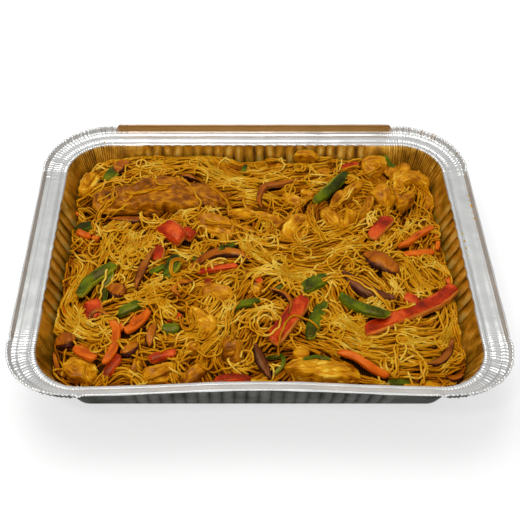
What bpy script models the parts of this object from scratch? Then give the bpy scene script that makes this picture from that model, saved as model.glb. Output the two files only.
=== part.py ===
"""Takeaway box: a half-size foil tray of curried rice noodles with chicken, peppers, carrot and onion.

The tray stands on z = 0, centred on the origin, with its long side along X. Its front, where the
rim is bent up, faces -Y. Lengths are in millimetres until a mesh is made, and metres there.
"""

import math
import random

import bmesh
import bpy
import numpy as np

MM = 0.001

# The tray, pressed from thin foil
OPENING_X = 286.0
OPENING_Y = 226.0
CORNER_R = 31.0
RIM_Z = 50.0
WALL_LEAN = 18.5
BASE_FILLET = 2.0
SHEET = 0.4
CORNER_STEPS = 6

# Flutes pressed into the straight walls
FLUTE_DEPTH = 1.0
LONG_FLUTES = 22
LONG_PITCH = 8.0
SHORT_FLUTES = 11
SHORT_PITCH = 9.4

# The rim, from the opening outwards: a ledge, a low step, and a lip with a rolled edge
LEDGE = 10.8
STEP_RUN = 0.7
STEP_RISE = 0.6
LIP_FOOT = 15.0
LIP_HEIGHT = 5.0
ROLL = 1.2
LIP_LEAN = 4.0
CORNER_LEAN = 18.0
CORNER_LIP = 4.0

# The front rim, bent up and pushed in by handling
FRONT_TILT = 30.0
FRONT_CORNER_TILT = 26.0
FRONT_TILT_REACH = 85.0
FRONT_LIP_HEIGHT = 3.0
FRONT_PUSH = 3.0
FRONT_LIFT = 1.2
KINK = 6.0

# The heap of noodles
HEAP_Z = 43.5
EDGE_DROPS = ((-1, 0, 12.0, 20.0), (1, 0, 14.0, 20.0), (0, 1, 4.0, 18.0), (0, -1, 5.0, 18.0))
WALL_GAP = 0.9
CORE_CELL = 8.0
CORE_FLOOR = 0.9
PIECE_GAP = 0.45
RASTER = 1.0
STRAND_D = 1.7
STRAND_CELL = 42.0
STRAND_LENGTH = 50.0
STRAND_POINTS = 14
STRAND_SEED = 11

# Each kind of topping: sides of its section, sections, how far it sinks into the noodles, the
# width left at its ends, the power of that taper, its arch across, its edge thickness, lumpiness
KINDS = {
    "chicken": (8, 6, 6.5, 0.45, 4.0, 0.0, 1.0, 0.13),
    "red_pepper": (6, 6, 2.6, 0.80, 4.0, 0.14, 0.9, 0.05),
    "green_pepper": (6, 6, 2.4, 0.70, 4.0, 0.16, 0.8, 0.05),
    "carrot": (4, 6, 2.2, 0.75, 6.0, 0.0, 1.0, 0.04),
    "onion": (6, 6, 2.2, 0.40, 2.5, 0.24, 0.5, 0.03),
}

# Every topping: name, kind, width, thickness, roll in degrees, how much deeper than its kind it
# sinks, and its line seen from above. A topping is laid on those before it.
TOPPINGS = [
    ("chicken_slab", "chicken", 30, 11, 0, 0, [(-120, 58), (-98, 60), (-72, 62), (-46, 60), (-22, 55)]),
    ("chicken_hook", "chicken", 11, 11, 0, 0, [(-122, 90), (-127, 79), (-130, 68)]),
    ("chicken_left_chunk", "chicken", 16, 9, 0, 0, [(-44, 36), (-31, 32), (-15, 22)]),
    ("chicken_mid_strip", "chicken", 8, 6, 0, 0, [(-21, 41), (0, 43), (20, 38)]),
    ("chicken_wedge", "chicken", 18, 9, 0, 0, [(22, 15), (30, 29), (38, 41)]),
    ("chicken_bright", "chicken", 14, 9, 0, 0, [(48, 46), (55, 39), (60, 28)]),
    ("chicken_under_onion", "chicken", 9, 7, 0, 0, [(19, 63), (28, 58), (36, 52)]),
    ("chicken_back_left", "chicken", 11, 8, 0, -5, [(31, 108), (40, 107), (50, 103)]),
    ("chicken_back_lobe", "chicken", 17, 10, 0, 0, [(83, 92), (94, 97), (104, 98)]),
    ("chicken_right_slab", "chicken", 16, 10, 0, 0, [(104, 82), (120, 85), (135, 80)]),
    ("chicken_right_drop", "chicken", 10, 9, 0, 0, [(119, 70), (113, 61), (106, 53)]),
    ("chicken_right_chunk", "chicken", 13, 10, 0, 0, [(93, 70), (95, 61), (99, 53)]),
    ("chicken_long_strip", "chicken", 10, 9, 0, 0, [(82, 80), (71, 67), (62, 53)]),
    ("chicken_curl", "chicken", 8, 8, 0, 0, [(85, 57), (83, 49), (76, 41), (67, 38)]),
    ("chicken_front_slab", "chicken", 17, 10, 0, 0, [(17, -91), (32, -94), (50, -96), (64, -98)]),
    ("chicken_front_left", "chicken", 17, 9, 0, 2, [(-126, -85), (-115, -92), (-103, -98)]),
    ("chicken_front_wedge", "chicken", 12, 8, 0, 0, [(-75, -99), (-65, -98), (-53, -93)]),
    ("chicken_cube", "chicken", 10, 9, 0, 0, [(-47, -79), (-42, -77), (-37, -76)]),
    ("chicken_front_grey", "chicken", 11, 8, 0, 0, [(-50, -106), (-42, -98), (-34, -90)]),
    ("chicken_round", "chicken", 20, 11, 0, 0, [(-23, -86), (-17, -83), (-11, -82)]),
    ("chicken_centre", "chicken", 13, 8, 0, 0, [(-39, -35), (-29, -32), (-16, -36)]),
    ("chicken_yellow", "chicken", 14, 9, 0, 0, [(-47, -49), (-38, -57), (-28, -66)]),
    ("red_pepper_chunk", "red_pepper", 15, 6, 8, 1, [(-68, 30), (-60, 23), (-52, 15)]),
    ("red_pepper_broad", "red_pepper", 12.5, 5, 0, 0, [(32, -38), (22, -54), (8, -76)]),
    ("red_pepper_long", "red_pepper", 11, 5, 0, 0, [(136, -24), (120, -39), (98, -51), (80, -60), (69, -65)]),
    ("red_pepper_short", "red_pepper", 11, 5, 0, 0, [(98, 39), (90, 29), (82, 17)]),
    ("red_pepper_front", "red_pepper", 7, 4, 0, 0, [(-71, -88), (-62, -84), (-53, -82)]),
    ("red_pepper_edge", "red_pepper", 7, 5, 0, 0, [(-29, -104), (-16, -102), (-5, -103)]),
    ("red_pepper_triangle", "red_pepper", 14, 4, 0, 0, [(-112, -37), (-111, -45), (-111, -54)]),
    ("green_pepper_back", "green_pepper", 9, 4, 20, 1, [(43, 54), (57, 69), (71, 89)]),
    ("green_pepper_wide", "green_pepper", 12, 4, 0, 0, [(30, -30), (40, -24), (49, -19)]),
    ("green_pepper_drop", "green_pepper", 9.5, 4, 0, 0, [(44, -41), (38, -56), (33, -72)]),
    ("green_pepper_long", "green_pepper", 8.5, 4, 0, 1, [(55, -35), (62, -43), (72, -51), (86, -57)]),
    ("green_pepper_tall", "green_pepper", 11, 4, 12, 1, [(-57, 4), (-59, -8), (-62, -21)]),
    ("green_pepper_left", "green_pepper", 9, 4, 0, 0, [(-99, -8), (-107, -15), (-116, -24), (-121, -38)]),
    ("green_pepper_pod", "green_pepper", 8, 4, 0, 0, [(-94, -49), (-87, -46), (-79, -41)]),
    ("green_pepper_corner", "green_pepper", 10, 4, 0, 0, [(-104, 98), (-109, 89), (-113, 80)]),
    ("green_pepper_thin", "green_pepper", 6, 3, 0, 0, [(-22, -49), (-11, -42), (2, -38)]),
    ("green_pepper_side", "green_pepper", 9, 4, 0, 0, [(-132, 35), (-124, 34), (-115, 33)]),
    ("onion_purple", "onion", 11, 4, 0, 0, [(59, -14), (69, -27), (81, -36), (93, -38)]),
    ("onion_petal", "onion", 15, 4, 0, 0, [(75, 3), (87, -4), (98, -16)]),
    ("onion_arc", "onion", 8, 4, 0, 0, [(-47, -17), (-42, -7), (-30, 3), (-15, 4), (-4, -4)]),
    ("onion_upright", "onion", 6, 4, 0, 0, [(-72, 9), (-78, -6), (-82, -19), (-83, -30)]),
    ("onion_hook", "onion", 6, 4, 0, 0, [(-52, -38), (-57, -32), (-53, -26), (-43, -24)]),
    ("onion_maroon", "onion", 7, 4, 0, 0, [(-3, -76), (1, -89), (7, -102)]),
    ("onion_crescent", "onion", 6, 4, 30, 0, [(35, 80), (21, 74), (8, 71), (3, 57), (5, 48)]),
    ("onion_under_slab", "onion", 6, 4, 0, 0, [(-109, 40), (-93, 38), (-76, 39)]),
    ("onion_corner", "onion", 13, 4, 0, 0, [(-132, -74), (-127, -70), (-119, -70)]),
    ("onion_right", "onion", 6, 4, 0, 0, [(102, -89), (114, -88), (122, -81), (128, -67)]),
    ("onion_pale", "onion", 7, 4, 0, 0, [(-68, -58), (-71, -67), (-71, -77)]),
    ("onion_olive", "onion", 12, 4, 0, 0, [(-103, -29), (-96, -30), (-91, -36)]),
    ("carrot_curved", "carrot", 6, 4, 0, 0, [(-97, -57), (-93, -66), (-94, -80), (-99, -92)]),
    ("carrot_front", "carrot", 6, 4, 0, 0, [(-120, -79), (-112, -85), (-104, -90)]),
    ("carrot_long", "carrot", 6, 4, 0, 0, [(-72, -49), (-79, -60), (-87, -70)]),
    ("carrot_left", "carrot", 4.5, 4, 0, 0, [(-131, 27), (-125, 24), (-119, 21)]),
    ("carrot_right", "carrot", 5, 4, 0, 0, [(130, 34), (118, 24), (109, 15), (101, 11)]),
    ("carrot_right_low", "carrot", 5, 4, 0, 0, [(127, 8), (115, 4), (103, 2)]),
    ("carrot_bent", "carrot", 5, 4, 0, 0, [(50, -82), (60, -87), (71, -96), (81, -101)]),
]

# Colour, roughness and metallic value of each material
FINISHES = {
    "foil": ((0.80, 0.81, 0.80, 1), 0.30, 1.0),
    "noodle": ((0.78, 0.45, 0.06, 1), 0.45, 0.0),
    "chicken": ((0.70, 0.36, 0.06, 1), 0.55, 0.0),
    "red_pepper": ((0.60, 0.07, 0.02, 1), 0.35, 0.0),
    "green_pepper": ((0.12, 0.20, 0.02, 1), 0.35, 0.0),
    "carrot": ((0.80, 0.22, 0.03, 1), 0.40, 0.0),
    "onion": ((0.28, 0.10, 0.08, 1), 0.35, 0.0),
}


def clear_scene():
    for obj in list(bpy.data.objects):
        bpy.data.objects.remove(obj, do_unlink=True)


def smooth(t):
    """0 to 1 with level ends."""
    t = min(max(t, 0.0), 1.0)
    return t * t * (3 - 2 * t)


def material(name):
    mat = bpy.data.materials.get(name)
    if mat:
        return mat
    colour, roughness, metallic = FINISHES[name]
    mat = bpy.data.materials.new(name)
    mat.use_nodes = True
    shader = mat.node_tree.nodes["Principled BSDF"]
    shader.inputs["Base Color"].default_value = colour
    shader.inputs["Roughness"].default_value = roughness
    shader.inputs["Metallic"].default_value = metallic
    return mat


def new_object(name, verts, faces, finish, collection):
    """An object from points in millimetres, with its faces turned outwards."""
    mesh = bpy.data.meshes.new(name)
    mesh.from_pydata([tuple(float(v) * MM for v in point) for point in verts], [], faces)
    bm = bmesh.new()
    bm.from_mesh(mesh)
    bmesh.ops.recalc_face_normals(bm, faces=bm.faces)
    bm.to_mesh(mesh)
    bm.free()
    mesh.materials.append(material(finish))
    obj = bpy.data.objects.new(name, mesh)
    collection.objects.link(obj)
    return obj


class Station:
    """A place on the edge of the tray's opening, with what the wall and the rim do there."""

    def __init__(self, x, y, nx, ny, flute=0.0, tilt=0.0, lean=LIP_LEAN, lip=LIP_HEIGHT, lift=0.0):
        self.point = np.array((x, y))
        self.normal = np.array((nx, ny))
        self.flute = flute
        self.tilt = math.radians(tilt)
        self.lean = math.radians(lean)
        self.lip = lip
        self.lift = lift


def side_places(half, flutes, pitch):
    """Distances along a straight side, each with its flute's depth, without the far end."""
    reach = flutes * pitch / 2
    places = [(-half, 0.0), (-half + KINK, 0.0)]
    for k in range(2 * flutes + 1):
        places.append((-reach + k * pitch / 2, FLUTE_DEPTH * (k % 2)))
    places.append((half - KINK, 0.0))
    return places


def front_station(x, half, flute):
    """The front's straight stretch: bent up between its two kinks, and pushed in at its middle."""
    bend = smooth((half - abs(x)) / KINK)
    push = math.cos(0.5 * math.pi * x / half) ** 2
    tilt = FRONT_CORNER_TILT + (FRONT_TILT - FRONT_CORNER_TILT) * bend
    lean = CORNER_LEAN + (FRONT_TILT - CORNER_LEAN) * bend
    lip = CORNER_LIP + (FRONT_LIP_HEIGHT - CORNER_LIP) * bend
    y = -OPENING_Y / 2 + FRONT_PUSH * push
    return Station(x, y, 0, -1, flute, tilt, lean, lip, FRONT_LIFT * push)


def corner_stations(sx, sy):
    """A corner's stations in the counterclockwise sense, from its first tangent point on."""
    start = {(1, -1): -90, (1, 1): 0, (-1, 1): 90, (-1, -1): 180}[(sx, sy)]
    cx = sx * (OPENING_X / 2 - CORNER_R)
    cy = sy * (OPENING_Y / 2 - CORNER_R)
    found = []
    for k in range(CORNER_STEPS):
        turn = 90.0 * k / CORNER_STEPS
        a = math.radians(start + turn)
        from_front = turn if sx > 0 else 90 - turn
        tilt = FRONT_CORNER_TILT * (1 - smooth(from_front / FRONT_TILT_REACH)) if sy < 0 else 0.0
        x = cx + CORNER_R * math.cos(a)
        y = cy + CORNER_R * math.sin(a)
        found.append(Station(x, y, math.cos(a), math.sin(a), 0.0, tilt, CORNER_LEAN, CORNER_LIP))
    return found


def stations():
    """All stations, counterclockwise seen from above, starting at the front's left end."""
    half_x = OPENING_X / 2 - CORNER_R
    half_y = OPENING_Y / 2 - CORNER_R
    front = [front_station(t, half_x, f) for t, f in side_places(half_x, LONG_FLUTES, LONG_PITCH)]
    right = [
        Station(OPENING_X / 2, t, 1, 0, f) for t, f in side_places(half_y, SHORT_FLUTES, SHORT_PITCH)
    ]
    back = [
        Station(-t, OPENING_Y / 2, 0, 1, f) for t, f in side_places(half_x, LONG_FLUTES, LONG_PITCH)
    ]
    left = [
        Station(-OPENING_X / 2, -t, -1, 0, f) for t, f in side_places(half_y, SHORT_FLUTES, SHORT_PITCH)
    ]
    return (
        front + corner_stations(1, -1) + right + corner_stations(1, 1)
        + back + corner_stations(-1, 1) + left + corner_stations(-1, -1)
    )


def rim_profile(station):
    """Distances out and up from the opening's edge to the roll at the end of the lip."""
    lean_x = math.sin(station.lean)
    lean_z = math.cos(station.lean)
    top_x = LIP_FOOT + station.lip * lean_x
    top_z = STEP_RISE + station.lip * lean_z
    line = [
        (0.0, 0.0),
        (LEDGE, 0.0),
        (LEDGE + STEP_RUN, STEP_RISE),
        (LIP_FOOT, STEP_RISE),
        (top_x, top_z),
        (top_x + ROLL, top_z),
        (top_x + ROLL, top_z - ROLL),
    ]
    c = math.cos(station.tilt)
    s = math.sin(station.tilt)
    return [(d * c - h * s, d * s + h * c) for d, h in line]


def tray_rings(all_stations):
    """Rings of points from the base's edge up the wall and out over the rim: the outer skin."""
    rings = []
    for out, z, fluted in ((-WALL_LEAN - BASE_FILLET, 0.0, 0.0), (-WALL_LEAN, BASE_FILLET, 0.3)):
        ring = []
        for s in all_stations:
            push = FRONT_PUSH * wall_push(s.point[0], s.point[1])
            p = s.point + s.normal * (out + fluted * s.flute + push)
            ring.append((p[0], p[1], z))
        rings.append(ring)
    for k in range(7):
        ring = []
        for s in all_stations:
            out, up = rim_profile(s)[k]
            fluted = s.flute if k == 0 else 0.0
            p = s.point + s.normal * (out + fluted)
            ring.append((p[0], p[1], RIM_Z + s.lift + up))
        rings.append(ring)
    return rings


def wall_push(x, y):
    """How much of the front's push there is at this place on the opening's edge."""
    half = OPENING_X / 2 - CORNER_R
    if y > -OPENING_Y / 2 + CORNER_R or abs(x) >= half:
        return 0.0
    return math.cos(0.5 * math.pi * x / half) ** 2


def make_tray(collection):
    """The foil tray: its skin lofted through the rings, with its flat stretches merged, thickened."""
    all_stations = stations()
    rings = tray_rings(all_stations)
    count = len(all_stations)
    verts = [point for ring in rings for point in ring]
    faces = [tuple(reversed(range(count)))]
    for r in range(len(rings) - 1):
        for k in range(count):
            a = r * count + k
            b = r * count + (k + 1) % count
            faces.append((a, b, b + count, a + count))
    obj = new_object("tray", verts, faces, "foil", collection)
    bm = bmesh.new()
    bm.from_mesh(obj.data)
    bmesh.ops.dissolve_limit(bm, angle_limit=math.radians(0.05), verts=bm.verts, edges=bm.edges)
    # The base has to face down, so that the sheet's thickness goes inwards
    base = min(bm.faces, key=lambda f: f.calc_center_median().z)
    if base.normal.z > 0:
        bmesh.ops.reverse_faces(bm, faces=bm.faces)
    bm.to_mesh(obj.data)
    bm.free()
    solid = obj.modifiers.new("sheet", "SOLIDIFY")
    solid.thickness = SHEET * MM
    solid.offset = -1
    solid.use_even_offset = True
    return obj


def wall_inset(z):
    """How far the wall has come in at this height, from the opening's edge."""
    return WALL_LEAN * (RIM_Z - z) / (RIM_Z - BASE_FILLET)


def inside(x, y, z):
    """How far a point is inside the tray's wall, and the way outwards from it."""
    inset = wall_inset(z)
    hx = OPENING_X / 2 - inset
    hy = OPENING_Y / 2 - inset
    r = CORNER_R - inset
    if y < 0 and abs(x) < OPENING_X / 2 - CORNER_R:
        hy -= FRONT_PUSH * math.cos(0.5 * math.pi * x / (OPENING_X / 2 - CORNER_R)) ** 2
    qx = abs(x) - (hx - r)
    qy = abs(y) - (hy - r)
    if qx > 0 and qy > 0:
        length = math.hypot(qx, qy)
        return r - length, (math.copysign(qx / length, x), math.copysign(qy / length, y))
    if qx > qy:
        return r - qx, (math.copysign(1, x), 0.0)
    return r - qy, (0.0, math.copysign(1, y))


def heap_height(x, y):
    """The noodles' level: a low mound that falls towards each wall, with slow waves."""
    z = HEAP_Z
    for sx, sy, drop, reach in EDGE_DROPS:
        gap = OPENING_X / 2 - sx * x if sx else OPENING_Y / 2 - sy * y
        z -= drop * math.exp(-max(gap, 0) / reach)
    z += 1.4 * math.sin(x / 17 + 1.3) * math.cos(y / 13 - 0.4)
    z += 0.8 * math.sin(x / 7.3 - y / 9.1)
    return z


def raster_shape():
    return int(OPENING_X / RASTER) + 9, int(OPENING_Y / RASTER) + 9


def raster_index(x, y):
    """Cells of the raster under these points."""
    nx, ny = raster_shape()
    i = np.rint(np.asarray(x) / RASTER).astype(int) + nx // 2
    j = np.rint(np.asarray(y) / RASTER).astype(int) + ny // 2
    return np.clip(i, 0, nx - 1), np.clip(j, 0, ny - 1)


def heap_raster():
    nx, ny = raster_shape()
    level = np.zeros((nx, ny))
    for i in range(nx):
        for j in range(ny):
            level[i, j] = heap_height((i - nx // 2) * RASTER, (j - ny // 2) * RASTER)
    return level


def spread(level, cells, largest):
    """Each cell takes the largest, or the smallest, value within so many cells of it."""
    pick = np.maximum if largest else np.minimum
    out = level.copy()
    for axis in (0, 1):
        base = out.copy()
        for step in range(1, cells + 1):
            for way in (step, -step):
                moved = np.roll(base, way, axis=axis)
                out = pick(out, moved)
    return out


def spine_points(points, count):
    """So many points at even distances along a smooth line through the given ones."""
    pts = [np.array(p, float) for p in points]
    pts = [2 * pts[0] - pts[1]] + pts + [2 * pts[-1] - pts[-2]]
    dense = []
    for k in range(1, len(pts) - 2):
        for t in np.linspace(0, 1, 24, endpoint=False):
            a, b, c, d = pts[k - 1:k + 3]
            square = 2 * a - 5 * b + 4 * c - d
            cube = 3 * b - a - 3 * c + d
            dense.append(0.5 * (2 * b + (c - a) * t + square * t**2 + cube * t**3))
    dense.append(pts[-2])
    dense = np.array(dense)
    run = np.concatenate([[0], np.cumsum(np.linalg.norm(np.diff(dense, axis=0), axis=1))])
    at = np.linspace(0, run[-1], count)
    return np.stack([np.interp(at, run, dense[:, k]) for k in range(2)], axis=1)


def section(kind, width, thick):
    """A topping's outline across its line: (across, up) pairs, counterclockwise."""
    sides, _, _, _, _, arch, edge, _ = KINDS[kind]
    rise = arch * width
    if sides == 8:
        out = []
        for k in range(8):
            a = 2 * math.pi * (k + 0.5) / 8
            u = math.copysign(abs(math.cos(a)) ** 0.8, math.cos(a))
            v = math.copysign(abs(math.sin(a)) ** 0.8, math.sin(a))
            out.append((u * width / 2, v * thick / 2))
        return out
    if sides == 4:
        corners = ((0.5, -0.5), (0.5, 0.5), (-0.5, 0.5), (-0.5, -0.5))
        return [(u * width, v * thick) for u, v in corners]
    low = edge * thick / 2
    return [
        (width / 2, -low - rise / 2),
        (width / 2, low - rise / 2),
        (0, thick / 2 + rise / 2),
        (-width / 2, low - rise / 2),
        (-width / 2, -low - rise / 2),
        (0, -thick / 2 + rise / 2),
    ]


def loft_points(name, kind, width, thick, roll, spine):
    """The topping's points about height 0, one row for each section."""
    _, count, _, end, power, _, _, lump = KINDS[kind]
    rng = random.Random(name)
    line = spine_points(spine, count)
    ways = np.gradient(line, axis=0)
    ways /= np.linalg.norm(ways, axis=1)[:, None]
    turn = math.radians(roll)
    rows = []
    for k in range(count):
        t = 2 * k / (count - 1) - 1
        scale = 1 - (1 - end) * abs(t) ** power
        side = np.array((-ways[k][1], ways[k][0], 0.0))
        across = side * math.cos(turn) + np.array((0, 0, math.sin(turn)))
        up = -side * math.sin(turn) + np.array((0, 0, math.cos(turn)))
        row = []
        for u, v in section(kind, width * scale, thick * (0.5 + 0.5 * scale)):
            uneven = 1 + lump * rng.uniform(-1, 1)
            row.append(np.array((*line[k], 0.0)) + (across * u + up * v) * uneven)
        rows.append(row)
    return np.array(rows)


def loft_faces(count, sides):
    faces = [tuple(range(sides)), tuple(reversed(range((count - 1) * sides, count * sides)))]
    for k in range(count - 1):
        for j in range(sides):
            a = k * sides + j
            b = k * sides + (j + 1) % sides
            faces.append((a, a + sides, b + sides, b))
    return faces


def surface_samples(points, faces):
    """Points spread over the faces, closer than a raster cell."""
    found = []
    for face in faces:
        for k in range(1, len(face) - 1):
            a, b, c = points[face[0]], points[face[k]], points[face[k + 1]]
            longest = max(np.linalg.norm(b - a), np.linalg.norm(c - a), np.linalg.norm(c - b))
            n = int(longest / (0.7 * RASTER)) + 2
            i, j = np.meshgrid(np.arange(n + 1), np.arange(n + 1))
            keep = i + j <= n
            s = (i[keep] / n)[:, None]
            t = (j[keep] / n)[:, None]
            found.append(a + s * (b - a) + t * (c - a))
    return np.concatenate(found)


def keep_inside(point):
    """The point, moved in if it would come too near the wall."""
    gap, way = inside(*point)
    short = WALL_GAP + 0.3 - gap
    if short > 0:
        point = point - np.array((way[0] * short, way[1] * short, 0.0))
    return point


def lay_topping(entry, ground, taken):
    """A topping's points, laid along what is under it: the sunk ground and the toppings there."""
    name, kind, width, thick, roll, deeper, spine = entry
    rows = loft_points(name, kind, width, thick, roll, spine)
    count, sides = rows.shape[:2]
    below = -rows[:, :, 2].min(axis=1)
    bed = np.maximum(ground - KINDS[kind][2] - deeper, taken + PIECE_GAP)
    reach = 0.5 * width * abs(math.cos(math.radians(roll))) + 0.5 * thick * abs(math.sin(math.radians(roll)))
    dense = spine_points(spine, 40)
    angles = np.linspace(0, 2 * math.pi, 12, endpoint=False)
    needs = []
    for p in dense:
        high = -1e9
        for radius in np.arange(0, reach + 1, 1.5):
            i, j = raster_index(p[0] + radius * np.cos(angles), p[1] + radius * np.sin(angles))
            high = max(high, np.percentile(bed[i, j], 80))
        needs.append(high)
    owner = np.linspace(0, count - 1, len(dense))
    need = np.array([max(h for h, o in zip(needs, owner) if abs(o - k) <= 0.6) for k in range(count)]) + below
    z = need.copy()
    for _ in range(5):
        padded = np.concatenate([z[:1], z, z[-1:]])
        z = np.maximum(need, 0.5 * z + 0.25 * (padded[:-2] + padded[2:]))
    rows[:, :, 2] += z[:, None]
    points = np.array([keep_inside(p) for p in rows.reshape(-1, 3)])
    faces = loft_faces(count, sides)
    samples = surface_samples(points, faces)
    i, j = raster_index(samples[:, 0], samples[:, 1])
    lift = (taken[i, j] + PIECE_GAP - samples[:, 2]).max()
    if lift > 0:
        points[:, 2] += lift
        samples[:, 2] += lift
    return points, faces, samples


def make_toppings(collection):
    """All toppings in their laid order. Gives the heap's level and the toppings' undersides as rasters."""
    ground = heap_raster()
    shape = raster_shape()
    taken = np.full(shape, -1e9)
    under = np.full(shape, 1e9)
    for entry in TOPPINGS:
        points, faces, samples = lay_topping(entry, ground, taken)
        i, j = raster_index(samples[:, 0], samples[:, 1])
        top = np.full(shape, -1e9)
        np.maximum.at(top, (i, j), samples[:, 2])
        taken = np.maximum(taken, spread(top, 1, True))
        np.minimum.at(under, (i, j), samples[:, 2])
        new_object(entry[0], points, faces, entry[1], collection)
    return ground, spread(under, 1, False)


def core_level(x, y, ground, under):
    """The core's height at a point: the heap's, or less where a topping lies within a cell's reach."""
    reach = int(CORE_CELL / RASTER) + 1
    i, j = raster_index(x, y)
    i0, i1 = max(i - reach, 0), i + reach + 1
    j0, j1 = max(j - reach, 0), j + reach + 1
    return min(ground[i, j], under[i0:i1, j0:j1].min() - PIECE_GAP)


def make_core(ground, under, collection):
    """The body of the heap: a block with the heap's top, cut to the inside of the tray."""
    nx = int(math.ceil(OPENING_X / CORE_CELL)) + 1
    ny = int(math.ceil(OPENING_Y / CORE_CELL)) + 1
    xs = (np.arange(nx) - (nx - 1) / 2) * CORE_CELL
    ys = (np.arange(ny) - (ny - 1) / 2) * CORE_CELL
    level = np.array([[core_level(x, y, ground, under) for y in ys] for x in xs])
    verts = [(xs[i], ys[j], level[i, j]) for i in range(nx) for j in range(ny)]
    faces = []
    for i in range(nx - 1):
        for j in range(ny - 1):
            a = i * ny + j
            faces.append((a, a + ny, a + ny + 1, a + 1))
    rim = [i * ny for i in range(nx)] + [(nx - 1) * ny + j for j in range(1, ny)]
    rim += [i * ny + ny - 1 for i in reversed(range(nx - 1))] + list(reversed(range(1, ny - 1)))
    first = len(verts)
    verts += [(verts[k][0], verts[k][1], -5.0) for k in rim]
    for k in range(len(rim)):
        n = (k + 1) % len(rim)
        faces.append((rim[k], first + k, first + n, rim[n]))
    faces.append(tuple(first + k for k in reversed(range(len(rim)))))
    core = new_object("noodles", verts, faces, "noodle", collection)
    return core, xs, ys, level


def make_cavity(collection):
    """The space inside the tray, a little clear of its wall, as the cutter of the noodles' core."""
    edge = [s for s in stations() if s.flute == 0]
    levels = ((CORE_FLOOR, BASE_FILLET), (BASE_FILLET + 1, 0.0), (RIM_Z, 0.0))
    verts = []
    for z, extra in levels:
        for s in edge:
            out = -wall_inset(z) - WALL_GAP - extra
            push = FRONT_PUSH * wall_inset(z) / WALL_LEAN * wall_push(*s.point)
            p = s.point + s.normal * (out + push)
            verts.append((p[0], p[1], z))
    count = len(edge)
    faces = [tuple(reversed(range(count))), tuple(range(2 * count, 3 * count))]
    for r in range(2):
        for k in range(count):
            a = r * count + k
            b = r * count + (k + 1) % count
            faces.append((a, b, b + count, a + count))
    cavity = new_object("cavity", verts, faces, "noodle", collection)
    cavity.hide_render = True
    cavity.display_type = "WIRE"
    return cavity


def strand_paths(xs, ys, level, under):
    """Noodles spread evenly over the open stretches of the heap, each a curved run on its surface."""
    rng = random.Random(STRAND_SEED)
    blocked = spread(np.where(under < 1e8, 1.0, 0.0), 2, True)
    paths = []
    for cx in np.arange(-120, 121, STRAND_CELL):
        for cy in np.arange(-90, 91, STRAND_CELL):
            best = []
            for _ in range(14):
                x = cx + rng.uniform(-0.5, 0.5) * STRAND_CELL
                y = cy + rng.uniform(-0.5, 0.5) * STRAND_CELL
                way = rng.uniform(0, 2 * math.pi)
                bend = rng.uniform(-0.07, 0.07)
                run = []
                step = STRAND_LENGTH / (STRAND_POINTS - 1)
                for _ in range(STRAND_POINTS):
                    z = surface_height(x, y, xs, ys, level)
                    i, j = raster_index(x, y)
                    if blocked[i, j] or inside(x, y, z)[0] < WALL_GAP + STRAND_D:
                        break
                    run.append((x, y, z + 0.15 * STRAND_D))
                    x += step * math.cos(way)
                    y += step * math.sin(way)
                    way += bend * step
                if len(run) > len(best):
                    best = run
            if len(best) >= 5:
                paths.append(best)
    return paths


def surface_height(x, y, xs, ys, level):
    """The core's height between its grid points."""
    u = np.clip((x - xs[0]) / CORE_CELL, 0, len(xs) - 1.001)
    v = np.clip((y - ys[0]) / CORE_CELL, 0, len(ys) - 1.001)
    i, j = int(u), int(v)
    s, t = u - i, v - j
    low = level[i, j] * (1 - t) + level[i, j + 1] * t
    high = level[i + 1, j] * (1 - t) + level[i + 1, j + 1] * t
    return low * (1 - s) + high * s


def make_strand(name, path, collection):
    """One noodle: a bevelled line made a closed mesh."""
    curve = bpy.data.curves.new(name, "CURVE")
    curve.dimensions = "3D"
    curve.bevel_depth = STRAND_D / 2 * MM
    curve.bevel_resolution = 1
    curve.use_fill_caps = True
    spline = curve.splines.new("POLY")
    spline.points.add(len(path) - 1)
    for point, place in zip(spline.points, path):
        point.co = (place[0] * MM, place[1] * MM, place[2] * MM, 1)
    guide = bpy.data.objects.new(name + "_line", curve)
    collection.objects.link(guide)
    graph = bpy.context.evaluated_depsgraph_get()
    mesh = bpy.data.meshes.new_from_object(guide.evaluated_get(graph))
    bpy.data.objects.remove(guide, do_unlink=True)
    bm = bmesh.new()
    bm.from_mesh(mesh)
    bmesh.ops.remove_doubles(bm, verts=bm.verts, dist=0.00001)
    bmesh.ops.recalc_face_normals(bm, faces=bm.faces)
    bm.to_mesh(mesh)
    bm.free()
    strand = bpy.data.objects.new(name, mesh)
    collection.objects.link(strand)
    return strand


def apply_modifiers(obj):
    graph = bpy.context.evaluated_depsgraph_get()
    mesh = bpy.data.meshes.new_from_object(obj.evaluated_get(graph))
    obj.modifiers.clear()
    obj.data = mesh


def keep_outer_shell(obj):
    """Drops loose scraps and fills sealed hollows: only the largest connected surface stays."""
    bm = bmesh.new()
    bm.from_mesh(obj.data)
    bmesh.ops.triangulate(bm, faces=bm.faces)
    bmesh.ops.remove_doubles(bm, verts=bm.verts, dist=0.000002)
    left = set(bm.verts)
    groups = []
    while left:
        seed = left.pop()
        group = {seed}
        queue = [seed]
        while queue:
            for edge in queue.pop().link_edges:
                for vert in edge.verts:
                    if vert in left:
                        left.remove(vert)
                        group.add(vert)
                        queue.append(vert)
        groups.append(group)
    groups.sort(key=len)
    for group in groups[:-1]:
        bmesh.ops.delete(bm, geom=list(group), context="VERTS")
    bm.to_mesh(obj.data)
    bm.free()


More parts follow.
